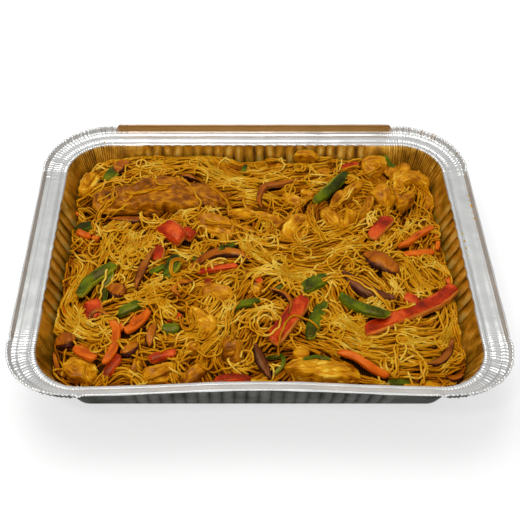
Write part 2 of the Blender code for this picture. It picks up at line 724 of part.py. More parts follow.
def make_noodles(ground, under, collection, cutters):
    """The heap: its core, cut to the tray's inside, with noodles fused on."""
    core, xs, ys, level = make_core(ground, under, collection)
    cut = core.modifiers.new("inside of tray", "BOOLEAN")
    cut.operation = "INTERSECT"
    cut.object = make_cavity(cutters)
    apply_modifiers(core)
    strands = bpy.data.collections.new("strands")
    bpy.context.scene.collection.children.link(strands)
    for k, path in enumerate(strand_paths(xs, ys, level, under)):
        make_strand(f"strand_{k}", path, strands)
    join = core.modifiers.new("strands", "BOOLEAN")
    join.operation = "UNION"
    join.solver = "MANIFOLD"
    join.operand_type = "COLLECTION"
    join.collection = strands
    apply_modifiers(core)
    for obj in list(strands.objects):
        bpy.data.objects.remove(obj, do_unlink=True)
    bpy.data.collections.remove(strands)
    keep_outer_shell(core)
    core.data.materials.clear()
    core.data.materials.append(material("noodle"))


def main():
    clear_scene()
    scene = bpy.context.scene.collection
    box = bpy.data.collections.new("noodle takeaway box")
    cutters = bpy.data.collections.new("cutters")
    scene.children.link(box)
    scene.children.link(cutters)
    make_tray(box)
    ground, under = make_toppings(box)
    make_noodles(ground, under, box, cutters)


main()
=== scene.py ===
"""Looks of the noodle takeaway box: a foil tray of curried rice noodles with chicken and vegetables.

Lengths are in millimetres until a mesh is made, and metres there. The tray's and the toppings'
sizes and places are those of the solids; each topping's height is read off its solid.
"""

import math
import random

import bpy
import numpy as np
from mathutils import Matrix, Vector, noise
from mathutils.bvhtree import BVHTree


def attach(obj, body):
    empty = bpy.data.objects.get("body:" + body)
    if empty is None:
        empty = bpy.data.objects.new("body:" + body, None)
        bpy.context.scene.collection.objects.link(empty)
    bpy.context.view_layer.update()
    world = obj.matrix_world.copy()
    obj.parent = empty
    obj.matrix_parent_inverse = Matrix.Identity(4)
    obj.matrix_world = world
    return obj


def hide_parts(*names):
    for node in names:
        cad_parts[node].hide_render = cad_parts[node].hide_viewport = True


MM = 0.001
TINY = 1e-9

# The photograph's view
CAMERA_AT = (-17.3, -423.5, 509.9)
CAMERA_PITCH = 47.94
CAMERA_LENS = 61.92
CAMERA_SHIFT = 0.0533

# The studio's lamps, in metres and watts: name, place, width and power
LAMPS = (
    ("top light", (-0.2, 0.15, 1.4), 0.8, 9.5),
    ("front fill", (0.1, -1.7, 0.75), 1.0, 5.5),
    ("small lamp", (-0.35, -0.6, 1.1), 0.09, 1.8),
)

# The tray, pressed from thin foil
OPENING_X = 286.0
OPENING_Y = 226.0
CORNER_R = 31.0
RIM_Z = 50.0
WALL_LEAN = 18.5
BASE_FILLET = 2.0
SHEET = 0.15
FLUTE_SAMPLES = 6
CORNER_SAMPLES = 150

# Flutes pressed into the straight walls
FLUTE_DEPTH = 1.7
LONG_FLUTES = 22
LONG_PITCH = 8.0
SHORT_FLUTES = 11
SHORT_PITCH = 9.4

# The rim, and its front, bent up and pushed in by handling
LIP_FOOT = 15.0
STEP_AT = 11.4
STEP_RISE = 0.6
LIP_HEIGHT = 5.0
BACK_LIP_HEIGHT = 6.5
ROLL = 1.2
LIP_LEAN = 4.0
CORNER_LEAN = 18.0
CORNER_LIP = 4.0
FRONT_TILT = 30.0
FRONT_CORNER_TILT = 26.0
FRONT_TILT_REACH = 85.0
FRONT_LIP_HEIGHT = 3.0
FRONT_PUSH = 3.0
FRONT_LIFT = 1.2
KINK = 6.0

# Heights of the wall's rings, and the ledge from the opening's edge out, with its pressed lines
WALL_RINGS = (0.0, 2.0, 6.0, 12.0, 18.0, 24.0, 30.0, 36.0, 42.0, 46.0, 48.8)
LEDGE_LINE = (
    (0.3, -0.15), (1.0, 0.0), (2.8, 0.0), (3.35, -0.35), (3.7, -0.65), (4.05, -0.35), (4.6, 0.0),
    (7.5, 0.35), (10.3, 0.0), (10.8, 0.05), (11.4, 0.6), (13.0, 0.75), (14.4, 0.55),
)
LIP_PLACES = (0.08, 0.35, 0.65, 0.9)
ROLL_ANGLES = (140, 90, 30, -30, -100)

# The lip is pressed low just before each corner: how far down, where and how widely
NOTCH_DEPTH = 0.45
NOTCH_AT = 3.0
NOTCH_WIDTH = 1.6

# The food's colour as a painted reflection on the lip's inner face along the front, right, back and left,
# and on the pleats of the back corners, and how far round the front corners are scuffed, in degrees
LIP_FOOD_REFLECTION = (0.0, 0.42, 0.94, 0.42)
CORNER_FOOD_REFLECTION = 0.6
SCUFF_REACH = 60.0

# How metallic the foil looks: clean, filmed with sauce, and scuffed along the bent front
FOIL_METAL = 0.66
FILM_METAL = 0.5
SCUFFED_METAL = 0.2

# Fine pleats in the pressed corners, by their spacing along the opening's edge
PLEAT_LEAST = 0.6
PLEAT_MOST = 1.15
WALL_PLEAT_DEPTH = 0.53
LEDGE_PLEAT_DEPTH = 0.3
LIP_PLEAT_DEPTH = 0.62
PLEAT_FADE = 17.0
PLEAT_STEP = 0.48

# The heap of noodles
HEAP_Z = 43.5
EDGE_DROPS = ((-1, 0, 12.0, 20.0), (1, 0, 14.0, 20.0), (0, 1, 4.0, 18.0), (0, -1, 5.0, 18.0))
HOLLOWS = (
    (-128, 55, 9.0, 9.0), (-130, 40, 6.0, 7.0), (120, 57, 8.0, 9.0), (-62, 44, 4.0, 7.0),
    (-112, -100, 6.0, 8.0), (124, -98, 7.0, 9.0), (134, -70, 6.0, 8.0), (-126, -88, 6.0, 7.0),
    (-36, -70, 4.0, 5.0), (10, -82, 4.0, 6.0), (22, -12, 3.0, 5.0), (-50, 5, 3.0, 5.0),
    (36, -30, 3.0, 5.0), (92, 6, 3.0, 5.0), (-88, 44, 3.0, 6.0), (45, 70, 4.0, 6.0), (70, -35, 3.0, 6.0),
)
FOOD_Z = 40.0
WALL_GAP = 0.9
EDGE_GAP = 1.1
STRAND_R = 0.77
STRAND_SIDES = 5
HIDDEN_SIDES = 4
STRAND_STEP = 1.6
RING_STEP = 1.0
CURL_STEP = 1.2
# Rounds of tufts, places in each round and most noodles in a tuft, under the hanks and over them
LOWER_TUFTS = (4, 75, 7)
UPPER_TUFTS = (5, 45, 5)
CURLS = 330
MOST_BEND = 0.26
BED_DEPTH = 4.0
PILE = 2.2
STIFFNESS = 14
CORE_SIDE = ((1.2, 0.97), (2.5, 1.0), (20.0, 1.0), (30.0, 1.0))
CORE_RINGS = 60
CELL = 0.6
FLOW_X = 147
FLOW_Y = 117
FLOW_CELL = 6.0
SEED = 5

# How each kind of topping is shaped: points around, powers of its section across and up, arch
# across, end width and the power of its taper, rounding of its ends in mm, slow lumps, ragged
# sides, lengthways fibres and creases in mm, lengthways fold in mm, twist in degrees, how much
# thicker one side is than the other, how slantwise the ends are cut, and how deep in mm a small
# bit of it sinks into the noodles
TOPPING_STEP = 1.1
LEAST_RINGS = 12
CHICKEN_LIFT = 0.3
SHAPE = (
    "around", "across", "rise", "arch", "end", "taper", "round", "lump", "ragged", "fibre", "crease",
    "fold", "twist", "wedge", "slant", "sink",
)
KINDS = {
    "chicken": (34, 0.40, 0.60, 0.0, 0.45, 3.0, 2.2, 0.06, 0.22, 0.55, 0.6, 0.0, 14, 0.4, 0.7, 6.5),
    "red_pepper": (28, 0.30, 0.45, 0.12, 0.80, 4.0, 1.1, 0.05, 0.08, 0.0, 0.0, 0.7, 14, 0.1, 0.6, 2.6),
    "green_pepper": (28, 0.30, 0.45, 0.12, 0.60, 3.0, 1.4, 0.05, 0.10, 0.0, 0.0, 0.6, 14, 0.1, 0.7, 2.4),
    "carrot": (20, 0.35, 0.40, 0.0, 0.70, 4.0, 0.7, 0.06, 0.08, 0.08, 0.0, 0.0, 10, 0.2, 0.6, 2.2),
    "onion": (32, 0.35, 0.60, 0.15, 0.12, 2.2, 1.0, 0.05, 0.10, 0.32, 0.0, -0.5, 14, 0.2, 0.3, 2.2),
}
KINDS = {kind: dict(zip(SHAPE, row)) for kind, row in KINDS.items()}

# Every topping: name, width, thickness, roll in degrees and its line seen from above
TOPPINGS = {
    "chicken": [
        ("slab", 30, 11, 0, [(-120, 58), (-98, 60), (-72, 62), (-46, 60), (-22, 55)]),
        ("hook", 11, 11, 0, [(-122, 90), (-127, 79), (-130, 68)]),
        ("left_chunk", 16, 9, 0, [(-44, 36), (-31, 32), (-15, 22)]),
        ("mid_strip", 8, 6, 0, [(-21, 41), (0, 43), (20, 38)]),
        ("wedge", 18, 9, 0, [(22, 15), (30, 29), (38, 41)]),
        ("bright", 14, 9, 0, [(48, 46), (55, 39), (60, 28)]),
        ("under_onion", 9, 7, 0, [(19, 63), (28, 58), (36, 52)]),
        ("back_left", 11, 8, 0, [(31, 108), (40, 107), (50, 103)]),
        ("back_lobe", 17, 10, 0, [(83, 92), (94, 97), (104, 98)]),
        ("right_slab", 16, 10, 0, [(104, 82), (120, 85), (135, 80)]),
        ("right_drop", 10, 9, 0, [(119, 70), (113, 61), (106, 53)]),
        ("right_chunk", 13, 10, 0, [(93, 70), (95, 61), (99, 53)]),
        ("long_strip", 10, 9, 0, [(82, 80), (71, 67), (62, 53)]),
        ("curl", 8, 8, 0, [(85, 57), (83, 49), (76, 41), (67, 38)]),
        ("front_slab", 17, 10, 0, [(17, -91), (32, -94), (50, -96), (64, -98)]),
        ("front_left", 17, 9, 0, [(-126, -85), (-115, -92), (-103, -98)]),
        ("front_wedge", 12, 8, 0, [(-75, -99), (-65, -98), (-53, -93)]),
        ("cube", 10, 9, 0, [(-47, -79), (-42, -77), (-37, -76)]),
        ("front_grey", 11, 8, 0, [(-50, -106), (-42, -98), (-34, -90)]),
        ("round", 20, 11, 0, [(-23, -86), (-17, -83), (-11, -82)]),
        ("centre", 13, 8, 0, [(-39, -35), (-29, -32), (-16, -36)]),
        ("yellow", 14, 9, 0, [(-47, -49), (-38, -57), (-28, -66)]),
    ],
    "red_pepper": [
        ("chunk", 15, 6, 8, [(-68, 30), (-60, 23), (-52, 15)]),
        ("broad", 12.5, 5, 0, [(32, -38), (22, -54), (8, -76)]),
        ("long", 11, 5, 0, [(136, -24), (120, -39), (98, -51), (80, -60), (69, -65)]),
        ("short", 11, 5, 0, [(98, 39), (90, 29), (82, 17)]),
        ("front", 7, 4, 0, [(-71, -88), (-62, -84), (-53, -82)]),
        ("edge", 7, 5, 0, [(-29, -104), (-16, -102), (-5, -103)]),
        ("triangle", 14, 4, 0, [(-112, -37), (-111, -45), (-111, -54)]),
    ],
    "green_pepper": [
        ("back", 9, 4, 20, [(43, 54), (57, 69), (71, 89)]),
        ("wide", 12, 4, 0, [(30, -30), (40, -24), (49, -19)]),
        ("drop", 9.5, 4, 0, [(44, -41), (38, -56), (33, -72)]),
        ("long", 8.5, 4, 0, [(55, -35), (62, -43), (72, -51), (86, -57)]),
        ("tall", 11, 4, 12, [(-57, 4), (-59, -8), (-62, -21)]),
        ("left", 9, 4, 0, [(-99, -8), (-107, -15), (-116, -24), (-121, -38)]),
        ("pod", 8, 4, 0, [(-94, -49), (-87, -46), (-79, -41)]),
        ("corner", 10, 4, 0, [(-104, 98), (-109, 89), (-113, 80)]),
        ("thin", 6, 3, 0, [(-22, -49), (-11, -42), (2, -38)]),
        ("side", 9, 4, 0, [(-132, 35), (-124, 34), (-115, 33)]),
    ],
    "onion": [
        ("purple", 11, 4, 0, [(59, -14), (69, -27), (81, -36), (93, -38)]),
        ("petal", 15, 4, 0, [(75, 3), (87, -4), (98, -16)]),
        ("arc", 8, 4, 0, [(-47, -17), (-42, -7), (-30, 3), (-15, 4), (-4, -4)]),
        ("upright", 6, 4, 0, [(-72, 9), (-78, -6), (-82, -19), (-83, -30)]),
        ("hook", 6, 4, 0, [(-52, -38), (-57, -32), (-53, -26), (-43, -24)]),
        ("maroon", 7, 4, 0, [(-3, -76), (1, -89), (7, -102)]),
        ("crescent", 6, 4, 30, [(35, 80), (21, 74), (8, 71), (3, 57), (5, 48)]),
        ("under_slab", 6, 4, 0, [(-109, 40), (-93, 38), (-76, 39)]),
        ("corner", 13, 4, 0, [(-132, -74), (-127, -70), (-119, -70)]),
        ("right", 6, 4, 0, [(102, -89), (114, -88), (122, -81), (128, -67)]),
        ("pale", 7, 4, 0, [(-68, -58), (-71, -67), (-71, -77)]),
        ("olive", 12, 4, 0, [(-103, -29), (-96, -30), (-91, -36)]),
    ],
    "carrot": [
        ("curved", 6, 4, 0, [(-97, -57), (-93, -66), (-94, -80), (-99, -92)]),
        ("front", 6, 4, 0, [(-120, -79), (-112, -85), (-104, -90)]),
        ("long", 6, 4, 0, [(-72, -49), (-79, -60), (-87, -70)]),
        ("left", 4.5, 4, 0, [(-131, 27), (-125, 24), (-119, 21)]),
        ("right", 5, 4, 0, [(130, 34), (118, 24), (109, 15), (101, 11)]),
        ("right_low", 5, 4, 0, [(127, 8), (115, 4), (103, 2)]),
        ("bent", 5, 4, 0, [(50, -82), (60, -87), (71, -96), (81, -101)]),
    ],
}

# Pieces that are darker or lighter than their kind: purple onion, browned or pale chicken
TONES = {
    "onion_purple": 0.8, "onion_maroon": 0.75, "onion_upright": 0.3, "onion_right": 0.35,
    "chicken_slab": -0.16, "chicken_round": -0.14, "chicken_front_grey": -0.12, "chicken_hook": 0.08,
    "chicken_left_chunk": -0.08, "chicken_right_drop": -0.08, "chicken_cube": 0.06,
    "chicken_front_slab": 0.05, "chicken_bright": 0.06, "chicken_yellow": 0.03,
}

# Flaps of the big slab, folded over it: width, thickness, rise above the solid's top, line
SLAB_FLAPS = [
    (10, 4.5, 2.2, [(-99, 50), (-89, 64), (-77, 74), (-62, 74), (-50, 69)]),
    (12, 4.5, 1.0, [(-92, 48), (-79, 56), (-65, 60), (-50, 62)]),
    (13, 5.0, 1.4, [(-54, 66), (-43, 63), (-32, 58), (-21, 50)]),
    (9, 4.0, 0.8, [(-116, 66), (-117, 56), (-113, 49), (-104, 47)]),
    (7, 4.0, 0.3, [(-112, 46), (-98, 47), (-84, 46), (-68, 44)]),
]

# Food with no solid of its own, 13 small pieces and then ends and slivers: kind, width, thickness, line
BITS = [
    ("chicken", 7, 5, [(-19, 31), (-7, 29), (4, 29)]),
    ("chicken", 7, 5, [(16, 101), (22, 96), (28, 93)]),
    ("chicken", 9, 6, [(-19, -21), (-8, -24), (4, -26)]),
    ("chicken", 11, 8, [(22, -80), (27, -82), (33, -81)]),
    ("red_pepper", 9, 5, [(-52, 25), (-48, 22), (-44, 20)]),
    ("red_pepper", 8, 4, [(-70, 11), (-69, 5), (-70, -3)]),
    ("red_pepper", 9, 4, [(100, -32), (105, -35), (110, -38)]),
    ("red_pepper", 7, 4, [(-98, -99), (-94, -91), (-89, -84)]),
    ("carrot", 4.5, 4, [(-119, 23), (-116, 21), (-112, 20)]),
    ("green_pepper", 9, 4, [(-64, -62), (-58, -63), (-52, -62)]),
    ("onion", 6, 4, [(118, -94), (124, -95), (132, -93)]),
    ("onion", 12, 4, [(-105, 86), (-104, 96), (-97, 102)]),
    ("onion", 9, 4, [(-89, -84), (-84, -80), (-78, -75)]),
    ("red_pepper", 5, 3, [(-37, -21), (-35, -22), (-31, -23)]),
    ("red_pepper", 5, 3, [(-61, -54), (-57, -53), (-51, -51)]),
    ("red_pepper", 5, 3, [(-42, -15), (-31, -10), (-13, -7)]),
    ("red_pepper", 5, 3, [(66, 98), (74, 100), (82, 102)]),
    ("red_pepper", 5, 3, [(-8, -12), (-2, -17), (3, -23)]),
    ("carrot", 3.5, 3, [(131, 28), (132, 21), (130, 14)]),
    ("carrot", 3.5, 3, [(132, -11), (134, -16), (136, -23)]),
    ("carrot", 3.5, 3, [(-132, -37), (-130, -42), (-128, -48)]),
    ("carrot", 4, 3, [(-93, -57), (-90, -62), (-87, -67)]),
    ("carrot", 4, 3, [(-81, -51), (-82, -57), (-82, -65)]),
    ("carrot", 3.5, 3, [(-117, -74), (-112, -79), (-107, -83)]),
    ("carrot", 3.5, 3, [(-136, 56), (-133, 55), (-129, 54)]),
    ("green_pepper", 6, 3, [(-100, -14), (-105, -26), (-105, -41)]),
    ("green_pepper", 5, 3, [(12, -29), (19, -22), (27, -14)]),
    ("green_pepper", 4, 3, [(-7, 98), (-8, 92), (-10, 84)]),
    ("green_pepper", 5, 3, [(80, -104), (87, -103), (95, -102)]),
    ("green_pepper", 3.5, 3, [(27, -90), (37, -86), (46, -89)]),
    ("green_pepper", 3, 3, [(4, -85), (14, -83), (15, -91), (8, -99)]),
    ("green_pepper", 5, 3, [(97, 106), (104, 102), (110, 97)]),
    ("green_pepper", 5, 3, [(-27, 5), (-20, 10), (-13, 14)]),
    ("green_pepper", 5, 3, [(-75, -14), (-70, -11), (-64, -6)]),
    ("green_pepper", 5, 3, [(-46, 0), (-41, 2), (-37, 4)]),
    ("onion", 3.5, 3, [(-112, -60), (-111, -51), (-105, -48), (-96, -53)]),
    ("onion", 3.5, 3, [(7, -27), (18, -32), (22, -43), (20, -55)]),
    ("onion", 4.5, 3, [(-14, 57), (-9, 62), (-5, 63)]),
    ("onion", 4.5, 3, [(-57, 85), (-51, 86), (-44, 82)]),
    ("onion", 4, 3, [(-134, -76), (-130, -89), (-122, -98)]),
    ("chicken", 8, 5, [(50, 100), (57, 103), (63, 105)]),
    ("chicken", 8, 5, [(58, 28), (64, 25), (69, 18)]),
    ("chicken", 8, 6, [(101, -103), (109, -103), (117, -103)]),
    ("chicken", 7, 5, [(-77, -83), (-78, -90), (-79, -98)]),
    ("chicken", 8, 5, [(85, -27), (92, -29), (98, -33)]),
    ("chicken", 8, 5, [(-32, -34), (-24, -38), (-18, -44)]),
    ("chicken", 8, 5, [(-12, -23), (-5, -27), (2, -30)]),
    ("chicken", 15, 8, [(88, 70), (95, 63), (101, 52)]),
    ("chicken", 12, 8, [(109, 78), (110, 65), (107, 54)]),
    ("chicken", 11, 7, [(100, 92), (110, 93), (120, 89)]),
    ("chicken", 9, 6, [(130, 76), (133, 67), (131, 58)]),
    ("chicken", 12, 6, [(36, 76), (49, 89), (59, 98)]),
    ("chicken", 10, 6, [(66, 65), (60, 52), (57, 41)]),
    ("chicken", 10, 6, [(34, 69), (41, 66), (47, 62)]),
    ("chicken", 12, 7, [(4, 35), (13, 37), (23, 31)]),
    ("chicken", 9, 6, [(70, 39), (66, 31), (60, 25)]),
]

# Drops of sauce on the rim: place and radius, and the rings of their domes as shares of the radius
DROP_SIDES = 12
DOME = ((1.0, -0.05), (0.92, 0.25), (0.65, 0.45), (0.25, 0.55))
DROPS = (
    (157.2, 62, 0.5), (157.5, 55, 0.7), (157.4, 50, 0.5), (157.6, 44, 0.9), (157.3, 37, 0.5),
    (157.6, 31, 0.8), (157.5, 22, 0.6), (157.4, 12, 0.5), (146.6, 17, 0.5), (146.7, 10, 0.6),
    (146.6, 3, 0.5), (146.8, -4, 0.4), (149.5, 66, 0.5), (150.5, 60, 0.4), (-118, 116.5, 0.7),
    (26, 121, 0.5),
)

# One to three noodles that lie over the toppings, with their curls and rings: how many, and their line
LOOSE = [
    (1, [(-108, 75), (-106, 67), (-110, 59), (-117, 53)]),
    (2, [(-97, 58), (-83, 60), (-64, 64)]),
    (2, [(-85, 43), (-81, 36), (-66, 34), (-52, 33)]),
    (1, [(-81, 89), (-76, 80), (-74, 76)]),
    (1, [(-100, 80), (-99, 93), (-93, 101)]),
    (1, [(-78, 101), (-78, 108), (-74, 110), (-71, 106), (-70, 99)]),
    (2, [(31, 10), (28, 20), (35, 29)]),
    (2, [(41, 53), (41, 40), (41, 33)]),
    (2, [(0, 27), (3, 34), (9, 34), (11, 27), (7, 20), (1, 22)]),
    (2, [(-50, -4), (-58, -6), (-60, -16), (-57, -20), (-50, -19)]),
    (2, [(43, -26), (59, -20), (73, -29), (82, -39), (91, -48), (105, -44)]),
    (1, [(12, -84), (14, -73), (19, -60), (25, -56), (33, -58), (41, -66)]),
    (3, [(11, -60), (8, -52), (2, -52), (-2, -60), (1, -67), (7, -67)]),
    (1, [(-12, -89), (-10, -83), (-5, -84), (-4, -90), (-8, -94)]),
    (2, [(-25, -79), (-21, -68), (-20, -51)]),
    (2, [(-18, -79), (-17, -69), (-15, -60)]),
    (2, [(-51, -54), (-50, -62), (-45, -66), (-42, -60), (-45, -50)]),
    (1, [(-103, -14), (-107, -28), (-106, -38)]),
    (1, [(-112, -92), (-109, -104), (-105, -107), (-97, -100)]),
    (2, [(58, -7), (62, -2), (66, -4), (66, -11), (61, -13)]),
    (2, [(126, 21), (133, 24), (135, 29), (132, 33)]),
    (1, [(133, 5), (130, -1), (135, -1)]),
    (2, [(130, -56), (133, -70), (131, -84), (121, -88)]),
    (2, [(80, -87), (80, -95), (86, -100), (88, -90), (88, -81), (89, -77)]),
    (1, [(102, -90), (104, -100), (104, -104)]),
    (1, [(113, -98), (117, -102), (116, -106)]),
    (3, [(-116, 30), (-110, 23), (-100, 25), (-92, 33)]),
    (1, [(-64, -83), (-56, -79), (-51, -75)]),
    (2, [(-37, 33), (-30, 29), (-18, 27)]),
    (2, [(55, 47), (67, 56), (73, 67)]),
    (1, [(-2, -54), (-6, -60), (-1, -70), (8, -71), (14, -63), (12, -54)]),
    (2, [(-40, -88), (-34, -95), (-30, -90)]),
    (3, [(-116, 25), (-118, 35), (-115, 46), (-106, 53), (-106, 64)]),
    (2, [(-111, 19), (-115, 31), (-113, 41), (-104, 44), (-95, 46)]),
    (1, [(-81, 84), (-76, 74), (-71, 68), (-62, 65)]),
    (1, [(-56, 76), (-48, 63), (-41, 50), (-43, 40)]),
    (1, [(-85, 39), (-81, 31), (-73, 28), (-65, 30), (-70, 37)]),
    (2, [(-34, 67), (-25, 59), (-17, 47)]),
    (1, [(-93, 76), (-83, 80), (-69, 81), (-56, 77)]),
    (1, [(98, 63), (99, 53), (97, 43)]),
    (1, [(125, 77), (134, 70), (134, 63), (129, 57)]),
    (1, [(71, 30), (75, 37), (80, 46), (81, 53)]),
    (3, [(42, 52), (40, 43), (41, 32), (46, 21), (50, 14)]),
    (1, [(79, 84), (90, 89), (99, 94)]),
    (1, [(103, 57), (101, 65), (101, 76), (103, 81)]),
]

# Hanks combed side by side: how many noodles, and the line that they follow
HANKS = [
    (20, [(-106, 93), (-82, 101), (-58, 107), (-39, 104), (-23, 90), (-4, 83), (20, 90)]),
    (12, [(-8, 83), (16, 90), (35, 98), (51, 104), (64, 108)]),
    (10, [(0, 74), (23, 81), (43, 90), (59, 98)]),
    (8, [(-38, 70), (-15, 72), (5, 68)]),
    (14, [(-88, 30), (-98, 15), (-107, 0), (-116, -16), (-121, -30), (-126, -38)]),
    (8, [(-96, 36), (-106, 26), (-115, 30), (-118, 38)]),
    (14, [(-77, 23), (-83, 8), (-93, -4), (-98, -20)]),
    (8, [(-107, 18), (-103, 6), (-97, 0), (-92, 13), (-90, 26)]),
    (10, [(-129, 3), (-121, -4), (-121, -16), (-128, -30), (-131, -43)]),
    (12, [(-131, -38), (-124, -54), (-112, -64), (-101, -61), (-92, -57)]),
    (8, [(-130, -57), (-117, -68), (-105, -72), (-94, -67)]),
    (8, [(-106, -76), (-99, -82), (-91, -80)]),
    (8, [(-105, -107), (-98, -98), (-88, -94), (-79, -99), (-69, -107)]),
    (5, [(-128, -87), (-119, -93), (-110, -102), (-105, -107)]),
    (8, [(-36, 95), (-21, 81), (-4, 72)]),
    (10, [(-38, 51), (-23, 54), (-8, 59), (5, 54)]),
    (10, [(-8, 23), (-5, 8), (6, -4), (23, -9), (37, -13)]),
    (12, [(-5, 18), (4, 3), (20, 0), (41, -4), (55, 3), (68, 13), (80, 23)]),
    (10, [(24, 6), (38, 13), (56, 18), (80, 26)]),
    (6, [(30, -4), (44, 0), (63, 8), (84, 10)]),
    (8, [(-68, -25), (-53, -20), (-36, -9), (-22, -4)]),
    (8, [(-29, -68), (-20, -51), (-18, -38), (-9, -25), (3, -17)]),
    (7, [(-48, -68), (-35, -64), (-24, -54), (-16, -38)]),
    (8, [(-14, -72), (-9, -57), (-2, -49), (11, -43), (21, -47)]),
    (6, [(3, -30), (12, -22), (22, -25), (27, -38), (25, -51)]),
    (6, [(-67, -20), (-73, -34), (-67, -47), (-59, -54)]),
    (6, [(-90, -37), (-77, -35), (-63, -28), (-53, -20)]),
    (18, [(42, -64), (56, -72), (75, -76), (95, -76), (111, -72)]),
    (12, [(39, -71), (55, -80), (74, -90), (89, -96), (105, -94)]),
    (12, [(89, -68), (105, -70), (119, -67), (127, -57), (132, -43)]),
    (10, [(91, -80), (106, -85), (119, -82), (126, -68), (132, -51)]),
    (8, [(57, -64), (70, -57), (81, -49)]),
    (8, [(58, -43), (61, -56), (69, -68)]),
    (12, [(112, 43), (106, 28), (97, 18), (90, 13)]),
    (10, [(126, 54), (120, 38), (113, 26), (103, 15)]),
    (8, [(98, 8), (107, -4), (116, -16), (125, -25)]),
    (8, [(130, 8), (132, -7), (133, -20), (131, -38)]),
    (8, [(100, -7), (109, -16), (114, -30), (116, -38)]),
    (6, [(119, 3), (129, -4), (136, -11)]),
    (9, [(133, -30), (132, -47), (126, -64), (117, -76)]),
]

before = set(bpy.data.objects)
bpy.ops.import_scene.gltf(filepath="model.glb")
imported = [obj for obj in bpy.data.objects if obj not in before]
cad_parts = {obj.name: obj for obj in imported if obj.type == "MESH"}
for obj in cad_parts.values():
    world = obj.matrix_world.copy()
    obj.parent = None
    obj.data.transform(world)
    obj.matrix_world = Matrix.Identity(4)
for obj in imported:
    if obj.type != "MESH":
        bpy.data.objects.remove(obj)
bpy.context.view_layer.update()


def smooth(t):
    """0 to 1 with level ends, for a number or an array."""
    t = np.clip(t, 0.0, 1.0)
    return t * t * (3 - 2 * t)


def linear(code):
    """An sRGB hex colour as linear red, green, blue and alpha."""
    parts = [int(code[k:k + 2], 16) / 255 for k in (0, 2, 4)]
    return tuple(v / 12.92 if v <= 0.04045 else ((v + 0.055) / 1.055) ** 2.4 for v in parts) + (1.0,)


def wire(tree, node, values):
    """Sets the node's inputs, each to a value or to a link from another node's output."""
    for socket, value in values.items():
        if isinstance(value, bpy.types.NodeSocket):
            tree.links.new(value, node.inputs[socket])
        else:
            node.inputs[socket].default_value = value


def add(tree, kind, values=None, stops=(), out=0, **settings):
    """Adds a shader node with its settings, inputs and colour ramp's stops, and gives one output of it."""
    node = tree.nodes.new("ShaderNode" + kind)
    for name, value in settings.items():
        setattr(node, name, value)
    wire(tree, node, values or {})
    for k, (place, code) in enumerate(stops):
        points = node.color_ramp.elements
        point = points[k] if k < 2 else points.new(place)
        point.position = place
        point.color = linear(code)
    return node.outputs[out]


def start_material(name):
    """A new material, its node tree and its shader."""
    made = bpy.data.materials.new(name)
    made.use_nodes = True
    return made, made.node_tree, made.node_tree.nodes["Principled BSDF"]


def foil_relief(tree, place):
    """Dents from handling, about 12 mm apart, under the rolled grain, drawn coarse at about 1 mm."""
    dents = add(tree, "TexNoise", {"Vector": place, "Scale": 85.0, "Detail": 2.0})
    grain = add(tree, "TexNoise", {"Vector": place, "Scale": 900.0, "Detail": 2.0})
    low = add(tree, "Bump", {"Height": dents, "Strength": 0.4, "Distance": 0.001})
    return add(tree, "Bump", {"Height": grain, "Strength": 0.14, "Distance": 0.0002, "Normal": low})


def foil_outside():
    """The foil's outer side: duller than the inside, as the matt side of foil is, and painted dark grey as
    shade.
    """
    made, tree, shader = start_material("matt side of aluminium foil with painted shade")
    place = add(tree, "TexCoord", out="Object")
    cloud = add(tree, "TexNoise", {"Vector": place, "Scale": 60.0, "Detail": 3.0})
    # Painted shade: the hollows between the flutes are coloured darker and their crests lighter
    fold_shade = add(tree, "Attribute", out="Fac", attribute_name="fold_shade")
    shade = add(tree, "Math", {0: fold_shade, 1: 0.4, 2: cloud}, operation="MULTIPLY_ADD")
    # Painted shade: the dark grey stands in for the shaded floor under the rim that this side mirrors
    wire(tree, shader, {
        "Base Color": add(tree, "ValToRGB", {"Fac": shade}, ((0.45, "50514E"), (1.0, "8A8B88"))),
        "Metallic": 1.0, "Roughness": 0.34, "Specular Tint": linear("969694"),
        "Normal": foil_relief(tree, place),
    })
    return made


